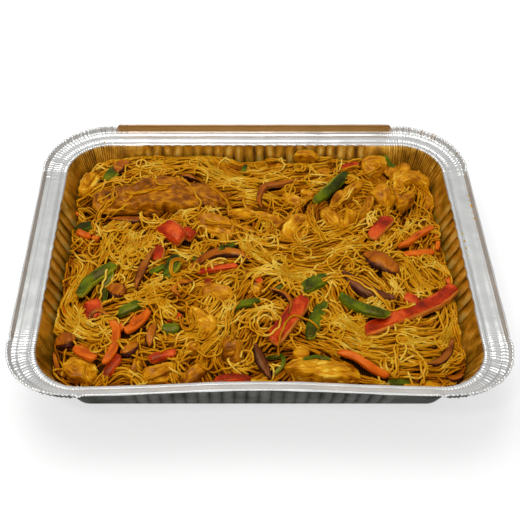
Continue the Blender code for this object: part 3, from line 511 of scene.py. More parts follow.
def foil_inside():
    """The foil's food side: clean and bright on the rim, filmed gold-brown with sauce on the wall, with
    painted shade between the wall's flutes and a painted reflection of the food on the lip.
    """
    made, tree, shader = start_material("aluminium foil filmed with curry sauce")
    place = add(tree, "TexCoord", out="Object")
    # The sauce mask: the film of sauce on the wall, and on the lip's inner face a painted reflection of the
    # food's gold
    sauce = add(tree, "Attribute", out="Fac", attribute_name="sauce")
    cloud = add(tree, "TexNoise", {"Vector": place, "Scale": 60.0, "Detail": 3.0})
    clean = add(tree, "ValToRGB", {"Fac": cloud}, ((0.3, "D1D2D0"), (0.7, "E3E3E0")))
    # The film has run down the wall, so its streaks are about 5 mm wide and three times as tall
    down = add(tree, "Mapping", {"Vector": place, "Scale": (1.0, 1.0, 0.3)})
    streak = add(tree, "TexNoise", {"Vector": down, "Scale": 170.0, "Detail": 4.0, "Roughness": 0.6})
    even = add(tree, "Attribute", out="Fac", attribute_name="even")
    run_down = add(tree, "Mix", {0: even, 2: streak, 3: 0.42})
    # Painted shade and highlight: the film is coloured darker in the creases between the flutes and brighter
    # on their crests
    fold_shade = add(tree, "Attribute", out="Fac", attribute_name="fold_shade")
    thick = add(tree, "Math", {0: fold_shade, 1: 0.45, 2: run_down}, operation="MULTIPLY_ADD")
    film = add(
        tree, "ValToRGB", {"Fac": thick},
        ((0.45, "4C2C02"), (0.68, "A8740E"), (0.85, "D69C24"), (1.0, "F0CA60")),
    )
    # The film hides part of the metal, and scratches scatter light, most on the rim's bent front
    wire(tree, shader, {
        "Base Color": add(tree, "Mix", {0: sauce, 6: clean, 7: film}, out=2, data_type="RGBA"),
        "Metallic": add(tree, "Attribute", out="Fac", attribute_name="metal"),
        "Roughness": add(tree, "MapRange", {"Value": sauce, "To Min": 0.27, "To Max": 0.34}),
        "Normal": foil_relief(tree, place),
    })
    return made


# What all wet food shares: its index, and oil coloured with turmeric, which tints what it mirrors
OILY = {"IOR": 1.42, "Specular Tint": linear("F2A626")}


def scatter(weight, radius, depth):
    """How much light goes into the food, how far each colour gets, and the depth in metres."""
    return {"Subsurface Weight": weight, "Subsurface Radius": radius, "Subsurface Scale": depth}


def along(tree, scale, values):
    """Noise drawn out along a piece, as its fibres, bands or veins run, by its lengths in mm."""
    run = add(tree, "Attribute", out="Vector", attribute_name="run")
    lengthways = add(tree, "Mapping", {"Vector": run, "Scale": scale})
    return add(tree, "TexNoise", {"Vector": lengthways, "Scale": 1.0, **values})


def cooked_noodle():
    """Boiled rice noodle, yellow with curry: smooth and slightly clear, with a film of oil."""
    made, tree, shader = start_material("boiled rice noodle in curry oil")
    # The tone is each noodle's own tone and, for noodles low in the heap, painted shade
    tone = add(tree, "Attribute", out="Fac", attribute_name="tone")
    place = add(tree, "TexCoord", out="Object")
    cloud = add(tree, "TexNoise", {"Vector": place, "Scale": 70.0, "Detail": 2.0})
    shift = add(tree, "Math", {0: cloud, 1: -0.5}, operation="ADD")
    level = add(tree, "Math", {0: tone, 1: shift}, operation="ADD")
    colour = add(
        tree, "ValToRGB", {"Fac": level},
        ((0.0, "682E00"), (0.3, "9C5602"), (0.6, "BA7A06"), (0.85, "D0961C"), (1.0, "E4BA4A")),
    )
    wire(tree, shader, {
        "Base Color": colour, "Roughness": 0.38, **OILY, **scatter(0.35, (0.9, 0.5, 0.1), 0.002),
    })
    return made


def packed_noodles():
    """The noodles deep in the heap, painted dark brown as shade, as close strands."""
    made, tree, shader = start_material("packed noodles painted dark as shade")
    # Strands 1.5 mm apart that wander
    strand = add(tree, "TexWave", {
        "Vector": add(tree, "TexCoord", out="Object"), "Scale": 210.0, "Distortion": 9.0, "Detail": 2.0,
        "Detail Scale": 0.35,
    }, out="Fac")
    # Painted shade: the packed strands are coloured near black-brown
    wire(tree, shader, {
        "Base Color": add(
            tree, "ValToRGB", {"Fac": strand}, ((0.1, "140600"), (0.6, "3C1E00"), (1.0, "5E3602"))
        ),
        "Roughness": 0.45, **OILY,
        "Normal": add(tree, "Bump", {"Height": strand, "Strength": 0.8, "Distance": 0.001}),
    })
    return made


def fried_chicken():
    """Stir-fried chicken: long muscle fibres, golden where it browned, with painted shade in its folds and
    painted highlight on its raised parts.
    """
    made, tree, shader = start_material("stir-fried chicken in curry sauce")
    # Fibres about 0.8 mm wide and 10 mm long, drawn a little coarser than real ones
    fibre = along(tree, (0.12, 1.1, 1.0), {"Detail": 4.0, "Distortion": 0.6})
    place = add(tree, "TexCoord", out="Object")
    patch = add(tree, "TexNoise", {"Vector": place, "Scale": 90.0, "Detail": 4.0})
    # Painted shade and highlight: the dent number makes hollows darker and raised parts lighter
    dent = add(tree, "Attribute", out="Fac", attribute_name="dent")
    both = add(tree, "Math", {0: fibre, 1: 0.75, 2: dent}, operation="MULTIPLY_ADD")
    level = add(tree, "Math", {0: patch, 1: 0.7, 2: both}, operation="MULTIPLY_ADD")
    tone = add(tree, "Attribute", out="Fac", attribute_name="tone")
    browned = add(tree, "Math", {0: level, 1: tone}, operation="ADD")
    colour = add(
        tree, "ValToRGB", {"Fac": browned},
        ((0.30, "421A00"), (0.55, "8C4A00"), (0.74, "BC7602"), (0.92, "D69812"), (1.0, "ECC044")),
    )
    wire(tree, shader, {
        "Base Color": colour, "Roughness": 0.4, **OILY, **scatter(0.1, (1.0, 0.45, 0.1), 0.0015),
        "Coat Weight": 0.1, "Coat Roughness": 0.1,
        "Normal": add(tree, "Bump", {"Height": fibre, "Strength": 0.6, "Distance": 0.0006}),
    })
    return made


def cooked_pepper(name, skins, flesh):
    """Cooked sweet pepper: a smooth waxy skin outside, paler wet flesh along its cut edges."""
    made, tree, shader = start_material(name)
    place = add(tree, "TexCoord", out="Object")
    # Bands run along the strip, the skin's own streaks with painted highlight in their lightest colour, and
    # fine specks about 1 mm apart lie over them
    band = along(tree, (0.07, 0.45, 1.0), {"Detail": 3.0})
    speck = add(tree, "TexNoise", {"Vector": place, "Scale": 700.0, "Detail": 2.0})
    level = add(tree, "Math", {0: speck, 1: 0.25, 2: band}, operation="MULTIPLY_ADD")
    outer = add(tree, "ValToRGB", {"Fac": level}, zip((0.46, 0.62, 0.76), skins))
    inner = add(tree, "ValToRGB", {"Fac": band}, zip((0.35, 0.65), flesh))
    skin = add(tree, "Attribute", out="Fac", attribute_name="skin")
    ripple = add(tree, "TexNoise", {"Vector": place, "Scale": 300.0, "Detail": 2.0})
    wire(tree, shader, {
        "Base Color": add(tree, "Mix", {0: skin, 6: inner, 7: outer}, out=2, data_type="RGBA"),
        "Roughness": 0.36, **OILY, **scatter(0.1, (1.0, 0.4, 0.1), 0.0012),
        "Coat Weight": 0.12, "Coat Roughness": 0.06,
        "Normal": add(tree, "Bump", {"Height": ripple, "Strength": 0.25, "Distance": 0.0006}),
    })
    return made


def cooked_carrot():
    """Cooked carrot: moist orange flesh with faint lengthways grain."""
    made, tree, shader = start_material("cooked carrot")
    grain = along(tree, (0.08, 0.9, 1.0), {"Detail": 3.0})
    colour = add(tree, "ValToRGB", {"Fac": grain}, ((0.3, "A03A02"), (0.5, "CC5806"), (0.7, "DC7420")))
    wire(tree, shader, {
        "Base Color": colour, "Roughness": 0.4, **OILY, **scatter(0.12, (1.0, 0.4, 0.1), 0.0012),
        "Coat Weight": 0.1, "Coat Roughness": 0.2,
        "Normal": add(tree, "Bump", {"Height": grain, "Strength": 0.3, "Distance": 0.0003}),
    })
    return made


def fried_onion():
    """Fried red onion: clear brown layers with fine veins, and a dark purple skin along the rim."""
    made, tree, shader = start_material("fried red onion")
    vein = along(tree, (0.05, 0.7, 1.0), {"Detail": 3.0})
    brown = add(tree, "ValToRGB", {"Fac": vein}, ((0.3, "6E2C00"), (0.5, "A05002"), (0.7, "BC700C")))
    purple = add(tree, "ValToRGB", {"Fac": vein}, ((0.3, "160604"), (0.5, "3A1410"), (0.7, "6C3A34")))
    rim = add(tree, "Attribute", out="Fac", attribute_name="rim")
    tone = add(tree, "Attribute", out="Fac", attribute_name="tone")
    dyed = add(tree, "Math", {0: rim, 1: tone}, operation="ADD", use_clamp=True)
    wire(tree, shader, {
        "Base Color": add(tree, "Mix", {0: dyed, 6: brown, 7: purple}, out=2, data_type="RGBA"),
        "Roughness": 0.32, **OILY, **scatter(0.2, (1.0, 0.45, 0.2), 0.0015),
        "Coat Weight": 0.12, "Coat Roughness": 0.06,
        "Normal": add(tree, "Bump", {"Height": vein, "Strength": 0.4, "Distance": 0.0004}),
    })
    return made


def sauce_drop():
    """A drop of curry sauce: yellow, wet and rounded by its own surface."""
    made, tree, shader = start_material("drop of curry sauce")
    place = add(tree, "TexCoord", out="Object")
    cloud = add(tree, "TexNoise", {"Vector": place, "Scale": 500.0, "Detail": 1.0})
    tone = add(tree, "ValToRGB", {"Fac": cloud}, ((0.3, "B87400"), (0.7, "D8A800")))
    wire(tree, shader, {"Base Color": tone, "Roughness": 0.2, **OILY, "IOR": 1.38})
    return made


def make_materials():
    """The finishes of the foil and of each kind of food, by slot."""
    return {
        "foil": foil_outside(),
        "foil inside": foil_inside(),
        "noodle": cooked_noodle(),
        "chicken": fried_chicken(),
        # The lightest skin colours are partly painted highlight
        "red_pepper": cooked_pepper(
            "cooked red pepper", ("6E0C00", "AC2604", "D2501A"), ("B85410", "CC8430")
        ),
        "green_pepper": cooked_pepper(
            "cooked green pepper", ("1A2400", "3A4C00", "5E6A02"), ("7E7E0C", "A89A24")
        ),
        "carrot": cooked_carrot(),
        "onion": fried_onion(),
    }


def new_piece(name, verts, quads, caps, finishes, numbers):
    """A piece of points in millimetres, four-sided faces, end caps, materials and numbers for each point."""
    mesh = bpy.data.meshes.new(name)
    quads = np.asarray(quads, np.int32)
    sizes = [4] * len(quads) + [len(cap) for cap in caps]
    corners = np.concatenate([quads.ravel()] + [np.asarray(cap, np.int32) for cap in caps])
    mesh.vertices.add(len(verts))
    mesh.vertices.foreach_set("co", (np.asarray(verts) * MM).ravel())
    mesh.loops.add(len(corners))
    mesh.loops.foreach_set("vertex_index", corners)
    mesh.polygons.add(len(sizes))
    mesh.polygons.foreach_set("loop_start", np.concatenate([[0], np.cumsum(sizes)[:-1]]).astype(np.int32))
    mesh.update(calc_edges=True)
    mesh.shade_smooth()
    for key, values in numbers.items():
        values = np.asarray(values, np.float32)
        wide = values.ndim == 2
        field = mesh.attributes.new(key, "FLOAT_VECTOR" if wide else "FLOAT", "POINT")
        field.data.foreach_set("vector" if wide else "value", values.ravel())
    for finish in finishes:
        mesh.materials.append(finish)
    obj = bpy.data.objects.new(name, mesh)
    bpy.context.scene.collection.objects.link(obj)
    return obj


def ring_quads(rings, count, first=0):
    """Faces between closed rings of so many points each."""
    r, k = np.meshgrid(np.arange(rings - 1), np.arange(count), indexing="ij")
    a = first + r * count + k
    b = first + r * count + (k + 1) % count
    return np.stack([a, b, b + count, a + count], axis=-1).reshape(-1, 4)


def serve(obj, slot, *nodes):
    """The piece rides on the tray's body and stands for solids, whose parts it hides; the slot is not used.
    """
    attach(obj, "root")
    if nodes:
        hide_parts(*nodes)


def pleat_line(length, rng):
    """Fine pleats of uneven width and height round a closed edge: their places and heights."""
    places = [0.0]
    up = 1
    heights = [0.5]
    while places[-1] < length - PLEAT_MOST:
        up = -up
        places.append(places[-1] + rng.uniform(PLEAT_LEAST, PLEAT_MOST))
        heights.append(up * rng.choice((0.3, 0.5, 0.5, 0.7, 1.0)) * rng.uniform(0.8, 1.2))
    return np.array(places + [length]), np.array(heights + [0.5])


def side_samples(half, flutes, pitch):
    """Places along a straight side, how far its flutes bow outwards there, from 0 to 1, and the painted
    shade that follows the flutes.
    """
    reach = flutes * pitch / 2
    pleated = np.arange(0, PLEAT_FADE, PLEAT_STEP)
    end = np.concatenate([pleated, np.linspace(PLEAT_FADE, half - reach, 5, endpoint=False)])
    middle = np.linspace(-reach, reach, flutes * FLUTE_SAMPLES, endpoint=False)
    t = np.concatenate([end - half, middle, [reach], half - end[:0:-1]])
    bow = np.abs(np.sin(np.pi * (t + reach) / pitch)) ** 0.8
    return t, np.where(np.abs(t) < reach, bow, 0.0), np.where(np.abs(t) < reach, bow, 0.6)


def edge_samples():
    """Everything the wall and the rim need to know at each place round the opening's edge."""
    half_x = OPENING_X / 2 - CORNER_R
    half_y = OPENING_Y / 2 - CORNER_R
    sides = [
        ((0, -1), half_x, LONG_FLUTES, LONG_PITCH, FRONT_LIP_HEIGHT),
        ((1, 0), half_y, SHORT_FLUTES, SHORT_PITCH, LIP_HEIGHT),
        ((0, 1), half_x, LONG_FLUTES, LONG_PITCH, BACK_LIP_HEIGHT),
        ((-1, 0), half_y, SHORT_FLUTES, SHORT_PITCH, LIP_HEIGHT),
    ]
    arc = CORNER_R * math.pi / 2
    parts = []
    start = 0.0
    for number, ((nx, ny), half, flutes, pitch, lip_height) in enumerate(sides):
        front = number == 0
        t, bow, fold_shade = side_samples(half, flutes, pitch)
        bend = smooth((half - np.abs(t)) / KINK)
        notch = 1 - NOTCH_DEPTH * np.exp(-((half - np.abs(t) - NOTCH_AT) / NOTCH_WIDTH) ** 2)
        push = np.cos(0.5 * np.pi * t / half) ** 2 if front else 0 * t
        away = OPENING_X / 2 if nx else OPENING_Y / 2
        parts.append({
            "x": nx * away - ny * t,
            "y": ny * away + nx * t + FRONT_PUSH * push,
            "nx": 0 * t + nx,
            "ny": 0 * t + ny,
            "run": start + t + half,
            "bow": bow,
            "fold_shade": fold_shade,
            "push": push,
            "tilt": FRONT_CORNER_TILT + (FRONT_TILT - FRONT_CORNER_TILT) * bend if front else 0 * t,
            "lean": CORNER_LEAN + ((FRONT_TILT if front else LIP_LEAN) - CORNER_LEAN) * bend,
            "lip": (CORNER_LIP + (lip_height - CORNER_LIP) * bend) * notch,
            "food_reflection": LIP_FOOD_REFLECTION[number] * bend,
            "scuff": 0 * t + front,
            "pleated": 1 - smooth((half - np.abs(t)) / PLEAT_FADE),
        })
        start += 2 * half
        turn = np.linspace(0, 90, CORNER_SAMPLES, endpoint=False)
        a = np.radians(turn + number * 90 - 90)
        sx, sy = ((1, -1), (1, 1), (-1, 1), (-1, -1))[number]
        from_front = turn if sx > 0 else 90 - turn
        none = 0 * a
        parts.append({
            "x": sx * half_x + CORNER_R * np.cos(a),
            "y": sy * half_y + CORNER_R * np.sin(a),
            "nx": np.cos(a),
            "ny": np.sin(a),
            "run": start + turn / 90 * arc,
            "bow": none,
            "fold_shade": none,
            "push": none,
            "tilt": FRONT_CORNER_TILT * (1 - smooth(from_front / FRONT_TILT_REACH)) if sy < 0 else none,
            "lean": none + CORNER_LEAN,
            "lip": none + CORNER_LIP,
            "food_reflection": none - CORNER_FOOD_REFLECTION * (sy > 0),
            "scuff": 1 - smooth(from_front / SCUFF_REACH) if sy < 0 else none,
            "pleated": none + 1,
        })
        start += arc
    edge = {key: np.concatenate([part[key] for part in parts]) for key in parts[0]}
    rng = random.Random(SEED)
    for key in ("pleat", "other"):
        edge[key] = np.interp(edge["run"], *pleat_line(start, rng)) * edge["pleated"]
    # Painted highlight and shade: in the corners each pleat is coloured lighter or darker by its height
    edge["fold_shade"] = edge["fold_shade"] * (1 - edge["pleated"]) + (0.45 + 0.6 * edge["pleat"]) * edge["pleated"]
    # In the back corners only the pleats that stand up get the painted reflection of the food's colour
    edge["food_reflection"] = np.where(edge["food_reflection"] < 0, CORNER_FOOD_REFLECTION * (edge["other"] > 0.5), edge["food_reflection"])
    return edge


def wall_inset(z):
    """How far the wall has come in at this height, from the opening's edge."""
    return WALL_LEAN * (RIM_Z - z) / (RIM_Z - BASE_FILLET)


def rim_places(tilt, lean, lip):
    """The rim's rings as distances out and up from the opening's edge, one array for each ring."""
    line = [(d + 0 * tilt, h + 0 * tilt) for d, h in LEDGE_LINE]
    for u in LIP_PLACES:
        line.append((LIP_FOOT + lip * np.sin(lean) * u, STEP_RISE + lip * np.cos(lean) * u))
    mid_d = LIP_FOOT + lip * np.sin(lean) + ROLL / 2
    mid_h = STEP_RISE + lip * np.cos(lean) - ROLL / 2
    for angle in ROLL_ANGLES:
        a = math.radians(angle)
        line.append((mid_d + ROLL / 2 * math.cos(a), mid_h + ROLL / 2 * math.sin(a)))
    return [(d * np.cos(tilt) - h * np.sin(tilt), d * np.sin(tilt) + h * np.cos(tilt)) for d, h in line]


def make_tray(finishes):
    """The foil tray: rings round the wall and the rim, pleated in the corners, as a thin sheet."""
    edge = edge_samples()
    count = len(edge["x"])
    out = []
    up = []
    lift = FRONT_LIFT * edge["push"]
    for z in WALL_RINGS:
        # The flutes grow out of the plain foot of the wall and flatten a little under the rim
        strength = smooth((z - 3.0) / 14.0) * (1 - 0.35 * smooth((z - 45.0) / 4.0))
        fillet = BASE_FILLET if z == 0 else 0.0
        inset = wall_inset(max(z, BASE_FILLET))
        dent = FRONT_PUSH * edge["push"] * inset / WALL_LEAN
        out.append(-inset - fillet + FLUTE_DEPTH * edge["bow"] * strength + dent)
        up.append(z + lift * z / RIM_Z)
    for d, h in rim_places(np.radians(edge["tilt"]), np.radians(edge["lean"]), edge["lip"]):
        out.append(d)
        up.append(RIM_Z + lift + h)
    out = np.array(out)
    up = np.array(up)
    along_d = np.gradient(out, axis=0)
    along_h = np.gradient(up, axis=0)
    length = np.hypot(along_d, along_h)
    walls = len(WALL_RINGS)
    lips = walls + len(LEDGE_LINE)
    depth = np.full(len(out), LEDGE_PLEAT_DEPTH)
    depth[:walls] = WALL_PLEAT_DEPTH * smooth((np.array(WALL_RINGS) - 2) / 40)
    depth[lips:] = LIP_PLEAT_DEPTH
    # Towards the lip one set of pleats gives way to another, so that none runs straight across
    turn = smooth((np.arange(len(out)) - walls - 2) / (len(LEDGE_LINE) - 3))[:, None]
    x = edge["x"]
    y = edge["y"]
    # Slight dents from handling, about 50 mm and 25 mm apart
    ripple = 0.10 * np.sin(x / 9.0 + 1.7) * np.cos(y / 7.0) + 0.06 * np.sin(x / 4.1 - y / 5.3)
    wave = depth[:, None] * (edge["pleat"] * (1 - turn) + edge["other"] * turn) + ripple * smooth(up / 30)
    out = out - wave * along_h / length
    up = np.maximum(up + wave * along_d / length, 0.0)
    verts = np.stack([x + edge["nx"] * out, y + edge["ny"] * out, up], axis=-1).reshape(-1, 3)
    sauce = np.zeros(out.shape)
    sauce[:walls] = 1.0
    # The lip's inner face gets a painted reflection of the food's gold along the back and a trace along the
    # sides
    sauce[lips:lips + len(LIP_PLACES) + 1] = edge["food_reflection"]
    # Painted shade across the wall's flutes and pleats; elsewhere an even middle value
    fold_shade = np.full(out.shape, 0.5)
    fold_shade[:walls] = edge["fold_shade"]
    even = np.ones(out.shape)
    even[:walls] = 0.0
    metal = FOIL_METAL - (FOIL_METAL - SCUFFED_METAL) * edge["scuff"] + 0 * out
    metal[:walls] = FILM_METAL
    quads = ring_quads(len(out), count)
    numbers = {"sauce": sauce, "fold_shade": fold_shade, "even": even, "metal": metal}
    numbers = {key: values.ravel() for key, values in numbers.items()}
    tray = new_piece("tray_foil", verts, quads, [np.arange(count)[::-1]], finishes, numbers)
    sheet = tray.modifiers.new("sheet", "SOLIDIFY")
    sheet.thickness = SHEET * MM
    sheet.offset = -1
    sheet.material_offset = 1
    serve(tray, "foil", "tray")
    return tray


def inside(x, y, z):
    """How far points are inside the tray's wall, and the way outwards from it."""
    inset = wall_inset(z)
    hx = OPENING_X / 2 - inset
    half = OPENING_X / 2 - CORNER_R
    r = CORNER_R - inset
    dent = np.where((y < 0) & (np.abs(x) < half), FRONT_PUSH * np.cos(0.5 * np.pi * x / half) ** 2, 0.0)
    hy = OPENING_Y / 2 - inset - dent
    qx = np.abs(x) - (hx - r)
    qy = np.abs(y) - (hy - r)
    length = np.hypot(np.maximum(qx, 0), np.maximum(qy, 0)) + TINY
    corner = (qx > 0) & (qy > 0)
    gap = np.where(corner, r - length, r - np.maximum(qx, qy))
    wx = np.where(corner, qx / length, (qx > qy).astype(float)) * np.sign(x)
    wy = np.where(corner, qy / length, (qx <= qy).astype(float)) * np.sign(y)
    return gap, wx, wy


def heap_height(x, y):
    """The noodles' level: a low mound that falls towards each wall, with slow waves and hollows."""
    z = HEAP_Z + 0 * x
    for sx, sy, drop, reach in EDGE_DROPS:
        gap = OPENING_X / 2 - sx * x if sx else OPENING_Y / 2 - sy * y
        z = z - drop * np.exp(-np.maximum(gap, 0) / reach)
    z = z + 1.4 * np.sin(x / 17 + 1.3) * np.cos(y / 13 - 0.4)
    z = z + 0.8 * np.sin(x / 7.3 - y / 9.1) + 0.7 * np.sin(x / 4.7 + 2) * np.sin(y / 5.9 + 1)
    for hx, hy, deep, reach in HOLLOWS:
        z = z - deep * np.exp(-((x - hx) ** 2 + (y - hy) ** 2) / reach**2)
    return z


def keep_inside(x, y, z, margin):
    """Points moved in where they would come too near the wall."""
    gap, wx, wy = inside(x, y, z)
    short = np.maximum(margin - gap, 0)
    return x - wx * short, y - wy * short


def spine_points(points, count):
    """So many points at even distances along a smooth line through the given ones."""
    pts = [np.array(p, float) for p in points]
    pts = [2 * pts[0] - pts[1]] + pts + [2 * pts[-1] - pts[-2]]
    dense = []
    for k in range(1, len(pts) - 2):
        a, b, c, d = pts[k - 1:k + 3]
        t = np.linspace(0, 1, 24, endpoint=False)[:, None]
        square = 2 * a - 5 * b + 4 * c - d
        cube = 3 * b - a - 3 * c + d
        dense.append(0.5 * (2 * b + (c - a) * t + square * t**2 + cube * t**3))
    dense = np.concatenate(dense + [pts[-2][None]])
    run = np.concatenate([[0], np.cumsum(np.linalg.norm(np.diff(dense, axis=0), axis=1))])
    at = np.linspace(0, run[-1], count)
    return np.stack([np.interp(at, run, dense[:, k]) for k in range(2)], axis=1), run[-1]


def even_line(points, step, least):
    """Points about a step apart on a smooth line through the given ones, and the line's length."""
    return spine_points(points, max(int(spine_points(points, 2)[1] / step), least))


def directions(path):
    """The unit way forward and the unit way to the left at each point of a path seen from above."""
    ways = np.gradient(path, axis=0)
    ways /= np.linalg.norm(ways, axis=1)[:, None] + TINY
    return ways, np.stack([-ways[:, 1], ways[:, 0]], axis=1)


def eased(values):
    """Values along a line, each drawn halfway towards its neighbours."""
    padded = np.concatenate([values[:1], values, values[-1:]])
    return 0.5 * values + 0.25 * (padded[:-2] + padded[2:])


def tops_below(mesh, places):
    """Heights of a mesh's upper side under places seen from above, and nan beside it."""
    tree = BVHTree.FromPolygons([v.co for v in mesh.vertices], [p.vertices for p in mesh.polygons])
    hits = [tree.ray_cast(Vector((x * MM, y * MM, 1.0)), Vector((0, 0, -1)))[0] for x, y in places]
    return np.array([hit.z / MM if hit else np.nan for hit in hits])


def solid_tops(node, line):
    """Heights of a solid's upper side under a line seen from above."""
    tops = tops_below(node.data, line)
    known = np.flatnonzero(~np.isnan(tops))
    return eased(eased(np.interp(np.arange(len(tops)), known, tops[known])))


def relief(look, s, u, offset):
    """How far a topping's surface stands out or in at a place along and across it, in mm."""
    height = 0.0
    if look["fibre"]:
        # Fibres run along the piece, bending slowly, as deep grooves with finer ones between
        bent = u + 2.6 * noise.noise(Vector((s / 22, u / 20, offset + 3)))
        coarse = 1 - 3 * abs(noise.noise(Vector((s / 34, bent / 2.6, offset))))
        fine = noise.noise(Vector((s / 18, bent / 1.0, offset + 5)))
        height += look["fibre"] * (0.7 * coarse + 0.5 * fine)
    if look["crease"]:
        cut = noise.noise(Vector(((s + 0.5 * u) / 20, (u - 0.2 * s) / 7, offset + 9)))
        height -= look["crease"] * math.exp(-((cut / 0.06) ** 2))
    return height


def topping_mesh(name, kind, width, thick, roll, line, length, tops):
    """A topping's rings of points along its line, with the numbers that its material reads."""
    look = KINDS[kind]
    around = look["around"]
    rng = random.Random(name)
    offset = rng.uniform(0, 100)
    fold = look["fold"] * rng.choice((-0.6, 1, 1))
    ends = [look["end"] * rng.uniform(0.65, 1.3) for _ in range(2)]
    wedge = look["wedge"] * rng.choice((-1, 1))
    slants = [look["slant"] * rng.uniform(-1, 1) for _ in range(2)]
    rise = look["arch"] * width
    ways = directions(line)[0]
    count = len(line)
    numbers = {"run": [], "dent": [], "skin": [], "rim": []}
    verts = []
    angles = [2 * math.pi * (k + 0.5) / around for k in range(around)]
    for k in range(count):
        t = 2 * k / (count - 1) - 1
        s = k / (count - 1) * length
        from_end = min(s, length - s)
        closing = math.sqrt(max(1 - max(1 - from_end / look["round"], 0) ** 2, 0.0004))
        scale = 1 - (1 - min(ends[t > 0], 1.0)) * abs(t) ** look["taper"]
        scale *= 1 + look["lump"] * noise.noise(Vector((s / 9, offset, 0)))
        ragged = [
            1 + look["ragged"] * noise.noise(Vector((s / 5, offset, far)))
            + 0.5 * look["ragged"] * noise.noise(Vector((s / 2, offset, far)))
            for far in (10, 20)
        ]
        turn = math.radians(roll + look["twist"] * noise.noise(Vector((s / 22, offset, 4))))
        side = np.array((-ways[k][1], ways[k][0], 0.0))
        across = side * math.cos(turn) + np.array((0, 0, math.sin(turn)))
        up = -side * math.sin(turn) + np.array((0, 0, math.cos(turn)))
        forward = np.array((*ways[k], 0.0)) * slants[t > 0] * abs(t) ** 3
        w = width * scale
        h = thick * (0.5 + 0.5 * scale)
        middle = np.array((*line[k], tops[k] - (h / 2 + rise * scale / 2) * math.cos(turn)))
        for a in angles:
            c = math.copysign(abs(math.cos(a)) ** look["across"], math.cos(a))
            v = math.copysign(abs(math.sin(a)) ** look["rise"], math.sin(a))
            place = (s, a * w / 3, offset)
            lumps = noise.noise(Vector((s / 8, c * w / 9, v + offset)))
            lumps += 0.5 * noise.noise(Vector((s / 3.5, c * w / 4, v + offset)))
            out = relief(look, s, c * w / 2 + 3 * v, offset) * closing
            grow = (1 + 1.5 * look["lump"] * lumps) * closing
            u = c * w / 2 * grow * ragged[c > 0] + 0.5 * out * math.cos(a)
            lift = rise * scale * (0.5 - c * c) - fold * math.exp(-((c / 0.4) ** 2)) * max(v, 0)
            high = v * h / 2 * grow * (1 + wedge * c) + lift + out * math.sin(a)
            verts.append(middle + (across + forward) * u + up * high)
            numbers["run"].append(place)
            # Painted shade and highlight for the chicken: darker where the surface sinks, lighter where it
            # stands out
            numbers["dent"].append(0.22 * lumps + 0.16 * out)
            flesh = float(smooth((c - 0.72) / 0.2))
            numbers["skin"].append(float(smooth((math.sin(a) + 0.1) / 0.3)) * closing * (1 - flesh))
            numbers["rim"].append(float(smooth((abs(c) - 0.62) / 0.2)) * (1.0 if c < 0 else 0.5))
    numbers["tone"] = [0.0] * len(verts)
    quads = ring_quads(count, around)[:, ::-1]
    caps = [np.arange(around), np.arange((count - 1) * around, count * around)[::-1]]
    return np.array(verts), quads, caps, numbers


def join_parts(parts):
    """Several closed forms as one: their points, faces, caps and numbers."""
    first = 0
    quads = []
    caps = []
    for verts, faces, ends, _ in parts:
        quads.append(faces + first)
        caps += [cap + first for cap in ends]
        first += len(verts)
    numbers = {key: np.concatenate([np.asarray(part[3][key]) for part in parts]) for key in parts[0][3]}
    return np.concatenate([part[0] for part in parts]), np.concatenate(quads), caps, numbers


def slab_flaps(node):
    """The big slab's folded flaps, over its solid."""
    flaps = []
    for number, (width, thick, rise, spine) in enumerate(SLAB_FLAPS):
        line, length = even_line(spine, TOPPING_STEP, LEAST_RINGS)
        tops = solid_tops(node, line) + rise
        flaps.append(topping_mesh(f"flap_{number}", "chicken", width, thick, 0, line, length, tops))
    return flaps


def torn_layers(name, width, thick, line, tops):
    """The thinner strips that lie along a torn piece of chicken, partly loose from it."""
    rng = random.Random(name + "_layers")
    side = directions(line)[1]
    layers = []
    for k in range(3 if width > 12 else 2):
        share = rng.uniform(0.38, 0.55)
        first = int(rng.uniform(0.0, 0.3) * len(line))
        last = len(line) - int(rng.uniform(0.0, 0.3) * len(line))
        slant = np.linspace(rng.uniform(-1, 1), rng.uniform(-1, 1), last - first)
        away = slant * (1 - share) / 2 * width
        path = line[first:last] + side[first:last] * away[:, None]
        length = float(np.sum(np.linalg.norm(np.diff(path, axis=0), axis=1)))
        height = tops[first:last] + rng.uniform(0.2, 1.0) - 2.2 * np.abs(slant) ** 2
        wide = width * share
        layers.append(topping_mesh(f"{name}_{k}", "chicken", wide, thick * 0.55, 0, path, length, height))
    return layers


def press_in(verts):
    """A piece that touches the wall lies flat against it."""
    verts[:, 0], verts[:, 1] = keep_inside(verts[:, 0], verts[:, 1], verts[:, 2], WALL_GAP)


def make_topping(heap, materials, kind, name, width, thick, roll, spine):
    """One topping over its solid: a strip along its line, and on chicken the layers torn from it."""
    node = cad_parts[name]
    line, length = even_line(spine, TOPPING_STEP, LEAST_RINGS)
    tops = solid_tops(node, line)
    lift = CHICKEN_LIFT if kind == "chicken" else 0.0
    parts = [topping_mesh(name, kind, width, thick, roll, line, length, tops + lift)]
    if name == "chicken_slab":
        parts += slab_flaps(node)
    elif kind == "chicken":
        parts += torn_layers(name, width, thick, line, tops)
    verts, quads, caps, numbers = join_parts(parts)
    press_in(verts)
    numbers["tone"] = np.full(len(verts), TONES.get(name, 0.0))
    piece = new_piece(name + "_cooked", verts, quads, caps, [materials[kind]], numbers)
    serve(piece, kind, name)
    heap.cover(piece)


